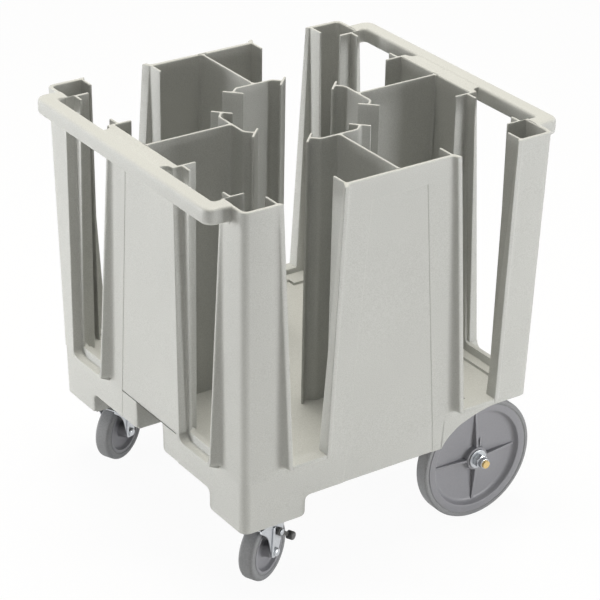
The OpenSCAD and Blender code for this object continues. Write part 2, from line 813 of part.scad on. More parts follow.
// Brake lever: a flat arm from the pin to a round pedal
module brake_lever(side) {
  color(dark) at_swivel(side) translate([-trail, -leg_out - side_gap, caster_r])
    rotate([90, 0, 0]) difference() {
      union() {
        translate([pivot_s, pivot_t, 0]) cylinder(r = boss_r, h = lever_t);
        translate([pedal_s, pedal_t, 0]) cylinder(r = pedal_r, h = pedal_l);
        translate([pivot_s, pivot_t, 0]) rotate([0, 0, atan2(pedal_t - pivot_t, pedal_s - pivot_s)])
          translate([0, -boss_r / 2, 0])
            cube([norm([pedal_s - pivot_s, pedal_t - pivot_t]), boss_r, lever_t]);
      }
      translate([pivot_s, pivot_t, -over]) cylinder(r = pivot_r + run_gap, h = big);
    }
}

// Mirrors a piece to the -Y side for the right
module right() mirror([0, 1, 0]) children();
// Mirrors a piece to the -X side for the front
module front() mirror([1, 0, 0]) children();

floor_pan();
front() end_ledge();  // front_ledge
end_ledge();  // rear_ledge
right() side_ledge();  // right_ledge
side_ledge();  // left_ledge
front_skirt();
rear_skirt();
right() side_skirt();  // right_skirt
side_skirt();  // left_skirt
front() right() leg();  // front_right_leg
front() leg();  // front_left_leg
front() end_panel();  // front_panel
end_panel();  // rear_panel
right() side_panel();  // right_panel
side_panel();  // left_panel
front() right() corner_post();  // front_right_post
front() corner_post();  // front_left_post
right() corner_post();  // rear_right_post
corner_post();  // rear_left_post
color(resin) front() divider();  // front_divider
color(resin) divider();  // rear_divider
color(resin) rotate([0, 0, -90]) divider();  // right_divider
color(resin) rotate([0, 0, 90]) divider();  // left_divider
front() handle();  // front_handle
handle();  // rear_handle
right() axle_block();  // axle_block_right
axle_block();  // axle_block_left
axle();
axle_washers();
axle_nuts();
right() rear_tyre();  // rear_tyre_right
rear_tyre();  // rear_tyre_left
right() rear_wheel();  // rear_wheel_right
rear_wheel();  // rear_wheel_left
right() wheel_bushing();  // wheel_bushing_right
wheel_bushing();  // wheel_bushing_left
right() caster_plate();  // caster_plate_right
caster_plate();  // caster_plate_left
right() plate_bolts();  // plate_bolts_right
plate_bolts();  // plate_bolts_left
right() kingpin();  // kingpin_right
kingpin();  // kingpin_left
fork(-1);  // fork_right
fork(1);  // fork_left
caster_tyre(-1);  // caster_tyre_right
caster_tyre(1);  // caster_tyre_left
caster_wheel(-1);  // caster_wheel_right
caster_wheel(1);  // caster_wheel_left
caster_axle(-1);  // caster_axle_right
caster_axle(1);  // caster_axle_left
lever_pin(-1);  // lever_pin_right
lever_pin(1);  // lever_pin_left
brake_lever(-1);  // brake_lever_right
brake_lever(1);  // brake_lever_left
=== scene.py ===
"""Looks of the plate dispenser cart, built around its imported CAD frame.

Sizes are written in millimetres and turned to metres when a mesh is made.
X runs from the casters to the large wheels, Y to the left, Z up.
"""
import json
import math

import bmesh
import bpy
import numpy as np
from mathutils import Matrix, Vector


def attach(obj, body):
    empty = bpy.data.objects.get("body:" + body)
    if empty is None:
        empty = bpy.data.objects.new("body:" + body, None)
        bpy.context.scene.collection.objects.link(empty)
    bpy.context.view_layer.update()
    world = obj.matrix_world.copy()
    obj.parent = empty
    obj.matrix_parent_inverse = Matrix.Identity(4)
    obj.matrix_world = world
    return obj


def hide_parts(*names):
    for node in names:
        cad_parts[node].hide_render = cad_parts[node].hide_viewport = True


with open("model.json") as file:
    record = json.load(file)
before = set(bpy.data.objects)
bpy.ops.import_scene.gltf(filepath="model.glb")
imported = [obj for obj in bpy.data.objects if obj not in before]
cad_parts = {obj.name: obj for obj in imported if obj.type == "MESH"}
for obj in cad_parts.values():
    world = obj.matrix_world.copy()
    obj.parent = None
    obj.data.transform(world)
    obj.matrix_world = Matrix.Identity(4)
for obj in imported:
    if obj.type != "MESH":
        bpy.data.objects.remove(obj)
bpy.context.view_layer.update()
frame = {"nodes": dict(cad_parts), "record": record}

bl_info = {
    "name": "Plate dispenser cart",
    "version": (1, 0, 0),
    "blender": (4, 5, 0),
    "location": "View3D > Sidebar > Cart",
    "description": "Makes the moulded body, wheels and casters of a plate dispenser cart",
    "category": "Object",
}

MM = 0.001
SIDES = (("right", -1), ("left", 1))
ENDS = (("front", -1), ("rear", 1))

# All sizes below are millimetres and degrees. A pair runs evenly from its value at the top to its value
# at the sill, and a slot's or jamb's two pairs are the panel's edge and the post's edge.

# Walls
TOP = 800
POST_X = 341
POST_Y = 345
PANEL = 335
WALL = 8
CORNER_R = 18
CURVE_CUT = 0.86
LEAN = math.tan(math.radians(1.34))
SEAM = 246
SILL = 260
FLOOR = 254

# Fins and arms: their places along the wall are the panel's and the post's
FIN_T = 4.6
FIN_L = 34
FIN_AT = (117, 267)
ARM_AT = (112, 270)
ARM_TIP = 291

# Slots and the jambs behind their edges
SIDE_SLOT = ((129, 159), (257, 232))
SIDE_JAMB = ((121, 159), (262.5, 232))
SIDE_JAMB_BACK = ((329, 324), (337.5, 324))
END_SLOT = ((115, 147), (271, 249))
END_JAMB = ((114.9, 147), (266.5, 249))
END_JAMB_BACK = (316.5, 320)

# Lips beside the slots: how far out they stand, how wide they are and how they end below
SIDE_LIP = (345, 351.7)
END_LIP = (341, 350)
SIDE_LIP_W = 11.5
END_LIP_W = 8.5
SIDE_LIP_END = 260.5
END_LIP_END = 255
LIP_CORNER = 12
LIP_RISE = 3
LIP_ROOT = 0.06
SIDE_CURVE = 0.9
END_CURVE = 0.65
STEP_FOOT = 2
SIDE_STEP = 1
END_STEP = 3.5
POST_PROUD = (0.3, 0.2)

# Lands behind the end lips: thickness, how far they reach out from the slot's edge, and their face
LAND_T = 5
LAND_REACH = (24, 5)
LAND_FACE = (322, 331)
LAND_STEP = 0.5
LAND_DRAFT = 0.3
LAND_Z = 261

# Sills of the slots
SIDE_SILL = 271
END_SILL = 277
SILL_BACK = 0.15
CORNER_CUT = 14

# Sunk field on the middle panels and the wall below them
RECESS_TOP = 755
RECESS_HALF = (62, 99)
RECESS_STEP = 1.2

# Dividers of the bays
BAR_AT = 145.5
BAR_HALF = 41.5
BAR_KNEE = 0.95
STUB = 21.5
FLANGE = 21
ROOT_SPREAD = 9
ROOT_SINK = 3
DIVIDER_LEVELS = [FLOOR, 400, 600, 780]
DIVIDER_CORNERS = 24

# Lower edge of the wall, the front notch and the legs
SKIRT_Z = 183
LEG_Z = 140
LEG_X = 190
LEG_Y = 213
LEG_WALL = 6
PAD_Z = 160
NOTCH = 47
NOTCH_DEPTH = 60
EDGE_R = 3.2
TOP_SPREAD = 0.06

# Handles
RAIL_R = 16.6
RAIL_X = 372.4
RAIL_Z = 785.9
RAIL_SQUARING = 0.44
RAIL_POINTS = (48, 30, 14, 6)
ELBOW_R = (6, 20)
ARM_Y = 289
ARM_FLARE = 0.12
ARM_DROP = 1.5
PLATE_HALF = 98
PLATE_T = 10
MARK_Y = ARM_Y + 8
MARK_TOP = 770
MARK_H = 14
MARK_W = 5
MARK_RISE = 3.2


def joint_place(name):
    """Place of one of the frame's joints."""
    joints = {joint["name"]: joint for joint in frame["record"]["behaviour"]["joints"]}
    return [value / MM for value in joints[name]["pos_m"]]


# Large wheels
WHEEL_AT = joint_place("rear_wheel_spin_left")
AXLE_X = WHEEL_AT[0]
WHEEL_R = WHEEL_AT[2]
WHEEL_FACE = 321
WHEEL_W = 30.4
RIM_R = 116
RIM_IN = 101
GROOVE = (2.4, 3.2)
TREAD_EDGE = 2.5
HUB_R = 24
HUB_L = 34.4
BUSHING_R = 13
DISC_IN = 12.2
RIBS = 4
GUSSET_T = 3.2
GUSSET_TURN = -68
AXLE_R = 8
WASHER_R = 19.4
WASHER_T = 2.5
NUT_ACROSS = 24
NUT_H = 13
COLLAR_R = (11.2, 10.4)
COLLAR_H = 22

# Casters. A place lies in the caster's rolling plane: how far ahead of the kingpin, and how high above
# the ground.
SWIVEL = joint_place("caster_swivel_left")[:2]
CASTER_AT = joint_place("caster_wheel_spin_left")
CASTER_R = CASTER_AT[2]
TRAIL = math.dist(SWIVEL, CASTER_AT[:2])
HEADING = math.degrees(math.atan2(SWIVEL[1] - CASTER_AT[1], SWIVEL[0] - CASTER_AT[0]))


def rolling_place(name):
    """Place of a left caster's joint in its rolling plane: ahead of the kingpin and above the ground."""
    x, y, z = joint_place(name)
    turn = math.radians(HEADING)
    return (x - SWIVEL[0]) * math.cos(turn) + (y - SWIVEL[1]) * math.sin(turn), z


CASTER_W = 32
CASTER_RIM = 48
CASTER_GROOVE = (2, 3)
CASTER_SHOULDER = 4
CASTER_HUB = 14
WEB = 6
FORK_T = 3
LEG_IN = 26
LEG_OUT = LEG_IN + FORK_T
CROWN_Z = 131
CROWN_REACH = (-78, 28)
HOOD_THROAT = (-53, 108)
LEG_SHOULDER = (5, 114)
BENT_EDGE = [(-31, 122), (-38, 120), (-43, 64), (-37, 60)]
RACE_TOP = 151.5
RACE_R = 26
KINGPIN_R = 6.06
BOLT_R = 5
HEAD_R = 8.6
HEAD_H = 7
LEVER_PIN = rolling_place("brake_lever_left_pivot")
PIN_R = 3
BOSS_R = 8
LEVER_T = 5
PEDAL = (16, 78.5)
PEDAL_R = 8.5
PEDAL_W = 14

# Rounded corners and edges: points on a corner, turns of an edge, the largest share of a side that a
# corner takes, the smallest cut, and the sine below which two sides count as one line
STEPS = 4
TURNS = np.linspace(0, math.pi / 2, 5)
SIDE_SHARE = 0.48
LEAST_CUT = 0.04
IN_LINE = 0.12

# Solid pieces turned round an axis start this far from it, so that no two points fall together
ON_AXIS = 0.004

# Radius of a top edge whose side is short, or lies close to another wall
SHORT_EDGE = 0.2
CLOSE_EDGE = 0.5

# Edges that meet at more than this angle stay sharp
SHARP = 38

# Camera that the photograph was taken with, in metres and as unit vectors
CAMERA_LENS = 145.07
CAMERA_AT = (-2.37908, -3.46045, 2.53238)
CAMERA_RIGHT = (0.82679492, -0.56224406, 0.01708165)
CAMERA_UP = (0.24237396, 0.38349229, 0.89117256)
CAMERA_LOOK = (0.50760716, 0.7326768, -0.45334279)

# Softboxes: name, place in metres, width and height in metres, watts and colour
LAMPS = (
    ("left_softbox", (-3.6, 2.1, 0.55), (1.9, 1.0), 108, (1.0, 1.0, 1.0)),
    ("right_softbox", (2.1, -3.6, 0.55), (1.9, 1.0), 88, (1.0, 1.0, 1.0)),
    ("top_softbox", (0.2, 0.4, 4.4), (2.4, 2.4), 190, (1.0, 0.965, 0.88)))
LAMP_AIM = (0, 0, 0.45)

# Half the side of the square floor, in metres
FLOOR_HALF = 14.0


def linear(code):
    """Linear red, green, blue and one, from an sRGB hex colour."""
    parts = [int(code[i:i + 2], 16) / 255 for i in (1, 3, 5)]
    return [c / 12.92 if c <= 0.04045 else ((c + 0.055) / 1.055) ** 2.4 for c in parts] + [1.0]


class CartBody(bpy.types.PropertyGroup):
    """Sizes and colour of the moulded body."""

    wall_edge: bpy.props.FloatProperty(
        name="Wall edge", description="Rounding of the thick walls' top edges",
        default=3.4 * MM, min=0.0005, max=0.004, unit="LENGTH", subtype="DISTANCE")
    fin_edge: bpy.props.FloatProperty(
        name="Fin edge", description="Rounding of the thin walls' top edges",
        default=2.1 * MM, min=0.0005, max=0.0023, unit="LENGTH", subtype="DISTANCE")
    recess: bpy.props.FloatProperty(
        name="Recess", description="Depth of the sunk field on the middle panels",
        default=1.3 * MM, min=0.0, max=0.003, unit="LENGTH", subtype="DISTANCE")
    colour: bpy.props.FloatVectorProperty(
        name="Body colour", description="Colour of the moulded body", size=4,
        subtype="COLOR", default=linear("#C5C6C3"), min=0, max=1)
    speck: bpy.props.FloatVectorProperty(
        name="Speck colour", description="Colour of the fine specks in the body", size=4,
        subtype="COLOR", default=linear("#B3B4B0"), min=0, max=1)


class CartWheels(bpy.types.PropertyGroup):
    """Sizes and colours of the wheels and casters."""

    groove: bpy.props.FloatProperty(
        name="Tyre groove", description="Depth of the groove between tyre and wheel",
        default=1.4 * MM, min=0.0, max=0.003, unit="LENGTH", subtype="DISTANCE")
    rib: bpy.props.FloatProperty(
        name="Rib thickness", description="Thickness of the wheel's ribs",
        default=5.4 * MM, min=0.002, max=0.008, unit="LENGTH", subtype="DISTANCE")
    tyre: bpy.props.FloatVectorProperty(
        name="Tyre colour", description="Colour of the tyres", size=4,
        subtype="COLOR", default=linear("#8D8E90"), min=0, max=1)
    centre: bpy.props.FloatVectorProperty(
        name="Wheel colour", description="Colour of the wheel centres", size=4,
        subtype="COLOR", default=linear("#8C8C91"), min=0, max=1)
    zinc: bpy.props.FloatVectorProperty(
        name="Zinc colour", description="Colour of the plated steel", size=4,
        subtype="COLOR", default=linear("#C4C7CA"), min=0, max=1)
    brass: bpy.props.FloatVectorProperty(
        name="Axle colour", description="Colour of the yellow plated axle", size=4,
        subtype="COLOR", default=linear("#E2C58A"), min=0, max=1)


# Node trees

def add(tree, kind, inputs=None, **settings):
    """One node with its settings; inputs holds a value or a socket for each named input."""
    made = tree.nodes.new(kind)
    for key, value in settings.items():
        setattr(made, key, value)
    for key, value in (inputs or {}).items():
        if isinstance(value, bpy.types.NodeSocket):
            tree.links.new(value, made.inputs[key])
        else:
            made.inputs[key].default_value = value
    return made


def seen_rays(tree):
    """One for the rays that show the white background: the camera's own and those off gloss."""
    rays = add(tree, "ShaderNodeLightPath")
    seen = add(tree, "ShaderNodeMath", {0: rays.outputs["Is Camera Ray"],
                                        1: rays.outputs["Is Glossy Ray"]}, operation="MAXIMUM")
    return seen.outputs[0]


def new_material(name):
    """An empty material with its node tree, output and shader."""
    material = bpy.data.materials.new(name)
    material.use_nodes = True
    tree = material.node_tree
    tree.nodes.clear()
    shader = add(tree, "ShaderNodeBsdfPrincipled")
    output = add(tree, "ShaderNodeOutputMaterial")
    tree.links.new(shader.outputs["BSDF"], output.inputs["Surface"])
    return material, tree, shader


POLYMER_IOR = 1.5


def moulded(name, colour, speck, share, rough, grain_mm, bump_mm):
    """Moulded plastic or rubber: specks mixed into the colour, a slow change of tone, a fine grain."""
    material, tree, shader = new_material(name)
    place = add(tree, "ShaderNodeTexCoord").outputs["Object"]
    specks = add(tree, "ShaderNodeTexNoise", {"Vector": place, "Scale": 1 / (grain_mm * MM),
                                               "Detail": 3.0, "Roughness": 0.7})
    ramp = add(tree, "ShaderNodeValToRGB", {"Fac": specks.outputs["Fac"]})
    ramp.color_ramp.elements[0].position = 0.40
    ramp.color_ramp.elements[0].color = (share, share, share, 1)
    ramp.color_ramp.elements[1].position = 0.58
    ramp.color_ramp.elements[1].color = (0, 0, 0, 1)
    spotted = add(tree, "ShaderNodeMix", {"Factor": ramp.outputs["Color"], "A": colour, "B": speck},
                  data_type="RGBA")
    tone = add(tree, "ShaderNodeTexNoise", {"Vector": place, "Scale": 9.0, "Detail": 2.0})
    shade = add(tree, "ShaderNodeMapRange", {"Value": tone.outputs["Fac"], "To Min": 0.97,
                                             "To Max": 1.03})
    toned = add(tree, "ShaderNodeVectorMath", {0: spotted.outputs["Result"],
                                               "Scale": shade.outputs["Result"]},
                operation="SCALE")
    tree.links.new(toned.outputs["Vector"], shader.inputs["Base Color"])
    gloss = add(tree, "ShaderNodeMapRange", {"Value": specks.outputs["Fac"],
                                             "To Min": rough - 0.05, "To Max": rough + 0.06})
    tree.links.new(gloss.outputs["Result"], shader.inputs["Roughness"])
    grain = add(tree, "ShaderNodeTexNoise", {"Vector": place, "Scale": 1.6 / (grain_mm * MM),
                                             "Detail": 4.0})
    relief = add(tree, "ShaderNodeBump", {"Height": grain.outputs["Fac"], "Strength": 0.5,
                                          "Distance": bump_mm * MM})
    tree.links.new(relief.outputs["Normal"], shader.inputs["Normal"])
    shader.inputs["IOR"].default_value = POLYMER_IOR
    return material


def plated(name, colour, rough, spangle_mm):
    """Zinc plated steel: patches of slightly different brightness, and a fine change of gloss."""
    material, tree, shader = new_material(name)
    place = add(tree, "ShaderNodeTexCoord").outputs["Object"]
    patch = add(tree, "ShaderNodeTexVoronoi", {"Vector": place, "Scale": 1 / (spangle_mm * MM)})
    tone = add(tree, "ShaderNodeMapRange", {"Value": patch.outputs["Distance"], "To Min": 0.82,
                                            "To Max": 1.05})
    toned = add(tree, "ShaderNodeVectorMath", {0: colour[:3], "Scale": tone.outputs["Result"]},
                operation="SCALE")
    tree.links.new(toned.outputs["Vector"], shader.inputs["Base Color"])
    fine = add(tree, "ShaderNodeTexNoise", {"Vector": place, "Scale": 2 / (spangle_mm * MM),
                                            "Detail": 5.0})
    gloss = add(tree, "ShaderNodeMapRange", {"Value": fine.outputs["Fac"],
                                             "To Min": rough - 0.08, "To Max": rough + 0.12})
    tree.links.new(gloss.outputs["Result"], shader.inputs["Roughness"])
    relief = add(tree, "ShaderNodeBump", {"Height": fine.outputs["Fac"], "Strength": 0.25,
                                          "Distance": 0.05 * MM})
    tree.links.new(relief.outputs["Normal"], shader.inputs["Normal"])
    shader.inputs["Metallic"].default_value = 1.0
    return material


MATERIALS = {}


def make_materials(body, wheels):
    """The seven finishes of the cart, by the record's slot names."""
    # Polyethylene moulded with a dark fleck: satin, cool light grey, slightly uneven
    MATERIALS["body_resin"] = moulded("speckled_polyethylene", list(body.colour), list(body.speck),
                                      share=0.8, rough=0.52, grain_mm=1.7, bump_mm=0.03)
    # Grey thermoplastic rubber: dull, a touch darker where it is worn
    MATERIALS["tyre"] = moulded("grey_tread_rubber", list(wheels.tyre), linear("#7F8082"),
                                share=0.7, rough=0.62, grain_mm=3.0, bump_mm=0.15)
    # Injection moulded polypropylene wheel centre: smooth satin, bluish grey
    MATERIALS["wheel_plastic"] = moulded("grey_polypropylene", list(wheels.centre),
                                         linear("#87878C"), share=0.6, rough=0.42, grain_mm=4.0,
                                         bump_mm=0.05)
    # Black nylon bushing: dull, almost no light
    MATERIALS["bushing_plastic"] = moulded("black_nylon", linear("#2A2A2B"), linear("#202021"),
                                           share=0.5, rough=0.5, grain_mm=2.0, bump_mm=0.04)
    # Bright zinc on pressed steel: cool mirror broken by fine patches
    MATERIALS["zinc"] = plated("bright_zinc_plate", list(wheels.zinc), rough=0.30,
                               spangle_mm=4.0)
    # Yellow chromate over zinc: warm, shinier than the bare zinc
    MATERIALS["axle_zinc"] = plated("yellow_zinc_plate", list(wheels.brass), rough=0.25,
                                    spangle_mm=3.0)
    # Black glass filled nylon of the brake lever: dark grey, satin
    MATERIALS["lever_plastic"] = moulded("black_glass_nylon", linear("#5A5A59"), linear("#484847"),
                                         share=0.5, rough=0.45, grain_mm=2.0, bump_mm=0.05)


# Meshes

def grid_quads(rows, cols, ring=False):
    """Quads of a grid stored row by row; the last column joins the first, and a ring's last row too."""
    i = np.arange(rows if ring else rows - 1)[:, None]
    j = np.arange(cols)[None, :]
    k = (j + 1) % cols
    low, high = i * cols, (i + 1) % rows * cols
    return np.stack([low + j, low + k, high + k, high + j], -1).reshape(-1, 4).tolist()


def loft(rings):
    """Closed skin over a stack of closed rings, with a flat face at each end."""
    rows, cols = rings.shape[:2]
    faces = grid_quads(rows, cols)
    faces.append(list(range(cols))[::-1])
    faces.append(list(range((rows - 1) * cols, rows * cols)))
    return rings.reshape(-1, 3), faces


def join(*parts):
    """Several meshes as one list of points and one of faces."""
    points, faces, start = [], [], 0
    for verts, polys in parts:
        points.append(verts)
        faces += [[v + start for v in poly] for poly in polys]
        start += len(verts)
    return np.concatenate(points), faces


def piece(name, shape, slot, body, *nodes):
    """Named object from points in millimetres.

    Doubles are merged, faces point outwards, and all but the sharp edges are smooth. The piece rides on a
    body, takes a slot's finish and stands in for the nodes it is given.
    """
    points, faces = shape
    mesh = bpy.data.meshes.new(name)
    mesh.from_pydata((np.asarray(points) * MM).tolist(), [], faces)
    work = bmesh.new()
    work.from_mesh(mesh)
    bmesh.ops.remove_doubles(work, verts=work.verts, dist=0.02 * MM)
    bmesh.ops.dissolve_degenerate(work, edges=work.edges, dist=0.01 * MM)
    bmesh.ops.recalc_face_normals(work, faces=work.faces)
    work.to_mesh(mesh)
    work.free()
    mesh.shade_smooth()
    mesh.set_sharp_from_angle(angle=math.radians(SHARP))
    mesh.materials.append(MATERIALS[slot])
    made = bpy.data.objects.new(name, mesh)
    bpy.context.scene.collection.objects.link(made)
    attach(made, body)
    if nodes:
        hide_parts(*nodes)


def soften(corners, cuts):
    """Outline whose corners are quadratic curves that leave and meet the sides a cut away."""
    p = np.asarray(corners, float)
    cut = np.asarray(cuts, float)[:, None]
    back = np.roll(p, 1, 0) - p
    ahead = np.roll(p, -1, 0) - p
    back_l = np.linalg.norm(back, axis=1, keepdims=True) + 1e-9
    ahead_l = np.linalg.norm(ahead, axis=1, keepdims=True) + 1e-9
    a = p + back / back_l * np.minimum(cut, SIDE_SHARE * back_l)
    b = p + ahead / ahead_l * np.minimum(cut, SIDE_SHARE * ahead_l)
    t = np.linspace(0, 1, STEPS)[None, :, None]
    curve = (1 - t) ** 2 * a[:, None] + 2 * t * (1 - t) * p[:, None] + t ** 2 * b[:, None]
    return curve.reshape(-1, 2)


def shrunk(corners, cuts, inset):
    """Corners moved so that each side lies its own inset further in.

    Two sides' offset lines meet where both equations hold, solved as a pair for all corners at once. The
    cuts of outer corners shorten and those of inner corners grow by the half angle's tangent.
    """
    p = np.asarray(corners, float)
    side = np.roll(p, -1, 0) - p
    side /= np.linalg.norm(side, axis=1, keepdims=True) + 1e-9
    ahead = np.roll(p, -1, 0)
    way = np.sign(np.sum(p[:, 0] * ahead[:, 1] - ahead[:, 0] * p[:, 1]))
    normal = np.stack([-side[:, 1], side[:, 0]], 1) * way
    before, d0 = np.roll(normal, 1, 0), np.roll(inset, 1)
    det = before[:, 0] * normal[:, 1] - before[:, 1] * normal[:, 0]
    flat = np.abs(det) < IN_LINE
    safe = np.where(flat, 1.0, det)
    x = (d0 * normal[:, 1] - inset * before[:, 1]) / safe
    y = (before[:, 0] * inset - normal[:, 0] * d0) / safe
    mean = (before + normal) / 2 * ((d0 + inset) / 2)[:, None]
    move = np.where(flat[:, None], mean, np.stack([x, y], 1))
    half = np.tan(np.arcsin(np.clip(det, -1, 1)) / 2) * way
    grown = np.asarray(cuts, float) - half * (d0 + inset) / 2
    return p + move, np.maximum(grown, LEAST_CUT)


def upright(outline, levels, top, radii, foot=None):
    """Corners and cuts of a height carried up through levels.

    The top edge is a quarter circle with its own radius on each side. Where a foot is asked for, the
    lower edge is a quarter circle too, with that one radius.
    """
    r = np.asarray(radii, float)
    before = np.roll(r, 1)[:, None]
    at_points = (before + (r[:, None] - before) * np.linspace(0, 1, STEPS)).reshape(-1)
    rings = []
    if foot is not None:
        for turn in TURNS[::-1]:
            inset = np.full(len(r), foot * (1 - math.cos(turn)))
            ring = soften(*shrunk(*outline(levels[0]), inset))
            height = np.full(len(ring), levels[0] + foot * (1 - math.sin(turn)))
            rings.append(np.column_stack([ring, height]))
        levels = levels[1:]
    for z in levels:
        ring = soften(*outline(z))
        rings.append(np.column_stack([ring, np.full(len(ring), z)]))
    for turn in TURNS:
        ring = soften(*shrunk(*outline(top), r * (1 - math.cos(turn))))
        rings.append(np.column_stack([ring, top - at_points * (1 - math.sin(turn))]))
    return loft(np.array(rings))


def mirrored(shape, sx=1, sy=1, swap=False):
    """Points with X and Y changed over if asked, then multiplied by the two signs."""
    points, faces = shape
    if swap:
        points = points[:, [1, 0, 2]]
    return points * np.array([sx, sy, 1.0]), faces


# How the walls, lips and fields run with height

def post_face(top, z):
    """Distance of a post's outer face at a height."""
    return top - (TOP - z) * LEAN


def panel_face(top, z):
    """Distance of a middle panel's outer face at a height."""
    return PANEL - (TOP - z) / (TOP - SEAM) * (PANEL - post_face(top, SEAM))


def along(pair, z):
    """A value that runs evenly from its first number at the top to its second at the sill."""
    return pair[1] + (pair[0] - pair[1]) * (z - SILL) / (TOP - SILL)


def lip_front(pair, face, z, end):
    """Front of a lip: it leans outwards, and a quarter ellipse brings it back to the face at its end."""
    s = min(max((z - end) / LIP_RISE, 0), 1)
    reach = math.sqrt(1 - (1 - s) ** 2)
    root = face + LIP_ROOT
    return root + (along(pair, z) - root) * reach


def lip_corner(z, end):
    """How far a lip's outer edge has moved towards the slot: a quarter circle at its lower end."""
    below = min(max(LIP_CORNER - (z - end), 0), LIP_CORNER)
    return LIP_CORNER - math.sqrt(LIP_CORNER ** 2 - below ** 2)


def recess_edge(z):
    """Half width of the sunk field, which widens evenly down to the lower edge of the body."""
    return RECESS_HALF[1] + (RECESS_HALF[0] - RECESS_HALF[1]) * (z - SILL) / (RECESS_TOP - SILL)


def recess_at(z, depth):
    """Edge and depth of the sunk field at a height."""
    return recess_edge(z), depth * min(max(RECESS_TOP + 1 - z, 0), 1)


# Heights of the rings, close together where the lips round off and at the top of the sunk field
END_LEVELS = [END_LIP_END + rise for rise in (0, 0.5, 1, 2, 3)]
SIDE_LEVELS = [SIDE_LIP_END + rise for rise in (0, 0.5, 1, 2, 3.5)]
LEVELS = ([SEAM] + END_LEVELS + SIDE_LEVELS + [267, 270, 275, 300, 400, 530, 660]
          + [RECESS_TOP, RECESS_TOP + 1, 775])
SILL_LEVELS = [SEAM] + SIDE_LEVELS + [266]


def both_halves(half):
    """Closed outline from its half on the positive side, listed from the outer to the inner centre."""
    return half + [(-place, distance) for place, distance in half[::-1]]


def side_panel_outline(z, depth):
    """Middle side panel in place and distance: sunk field, step, lip, jamb and fin."""
    face = panel_face(POST_Y, z)
    edge, sunk = recess_at(z, depth)
    slot = along(SIDE_SLOT[0], z)
    front = lip_front(SIDE_LIP, face, z, SIDE_LIP_END)
    inner = face - WALL
    fin = FIN_AT[0]
    foot = slot - SIDE_LIP_W + lip_corner(z, SIDE_LIP_END) * SIDE_CURVE
    half = [(edge - RECESS_STEP, face - sunk), (edge, face), (foot - STEP_FOOT, face),
            (foot + SIDE_STEP, front), (slot, front),
            (along(SIDE_JAMB[0], z), along(SIDE_JAMB_BACK[0], z)),
            (fin + FIN_T / 2, inner), (fin + FIN_T / 2, inner - FIN_L),
            (fin - FIN_T / 2, inner - FIN_L), (fin - FIN_T / 2, inner)]
    cuts = [0.5, 0.5, 11, 3, 2.2, 1.5, 2, 1.6, 1.6, 2]
    return both_halves(half), cuts + cuts[::-1]


def end_panel_outline(z, depth):
    """Middle end panel in place and distance: sunk field, step, lip, jamb, land and arm."""
    face = panel_face(POST_X, z)
    edge, sunk = recess_at(z, depth)
    slot = along(END_SLOT[0], z)
    front = lip_front(END_LIP, face, z, END_LIP_END)
    land = min(along(LAND_FACE, z), front - LAND_STEP)
    foot = slot - END_LIP_W + lip_corner(z, END_LIP_END) * END_CURVE
    reach = slot + along(LAND_REACH, z)
    jamb, back = along(END_JAMB[0], z), along(END_JAMB_BACK, z)
    arm, t = ARM_AT[0], FIN_T / 2
    half = [(edge - RECESS_STEP, face - sunk), (edge, face), (foot - STEP_FOOT, face),
            (foot + END_STEP, front), (slot, front), (slot, land), (reach, land),
            (reach, land - LAND_T), (jamb, land - LAND_T - LAND_DRAFT), (jamb, back),
            (arm + t, back), (arm + t, ARM_TIP), (arm - t, ARM_TIP), (arm - t, face - WALL)]
    cuts = [0.5, 0.5, 7, 2.5, 2.2, 1.5, 1.5, 1.5, 1, 1, 1, 1.6, 1.6, 2]
    return both_halves(half), cuts + cuts[::-1]


def post_outline(z):
    """Corner post in the positive quarter, from the end slot round the corner to the side slot."""
    x, y = post_face(POST_X, z), post_face(POST_Y, z)
    end, side = along(END_SLOT[1], z), along(SIDE_SLOT[1], z)
    end_front = lip_front(END_LIP, x, z, END_LIP_END) + POST_PROUD[0]
    side_front = lip_front(SIDE_LIP, y, z, SIDE_LIP_END) + POST_PROUD[1]
    end_foot = end + END_LIP_W - lip_corner(z, END_LIP_END) * END_CURVE
    side_foot = side + SIDE_LIP_W - lip_corner(z, SIDE_LIP_END) * SIDE_CURVE
    land = min(along(LAND_FACE, z), end_front - LAND_STEP)
    reach = end - along(LAND_REACH, z)
    jamb, back = along(END_JAMB[1], z), along(END_JAMB_BACK, z)
    arm, fin, t = ARM_AT[1], FIN_AT[1], FIN_T / 2
    inner_x, inner_y = x - WALL, y - WALL
    # Each corner's place and cut: the end's lip, its land, jamb and arm, the fin, the side's lip
    corners = [
        (x, end_foot + STEP_FOOT, 7), (end_front, end_foot - END_STEP, 2.5), (end_front, end, 2.2),
        (land, end, 1.5), (land, reach, 1.5), (land - LAND_T, reach, 1.5),
        (land - LAND_T - LAND_DRAFT, jamb, 1), (back, jamb, 1),
        (back, arm - t, 1), (ARM_TIP, arm - t, 1.6), (ARM_TIP, arm + t, 1.6),
        (inner_x, arm + t, 2.5), (inner_x, inner_y, CORNER_R - WALL), (fin + t, inner_y, 2.5),
        (fin + t, inner_y - FIN_L, 1.6), (fin - t, inner_y - FIN_L, 1.6), (fin - t, inner_y, 2),
        (along(SIDE_JAMB[1], z), along(SIDE_JAMB_BACK[1], z), 1.5), (side, side_front, 2.2),
        (side_foot - SIDE_STEP, side_front, 3), (side_foot + STEP_FOOT, y, 11),
        (x, y, CORNER_R * CURVE_CUT)]
    return [c[:2] for c in corners], [c[2] for c in corners]


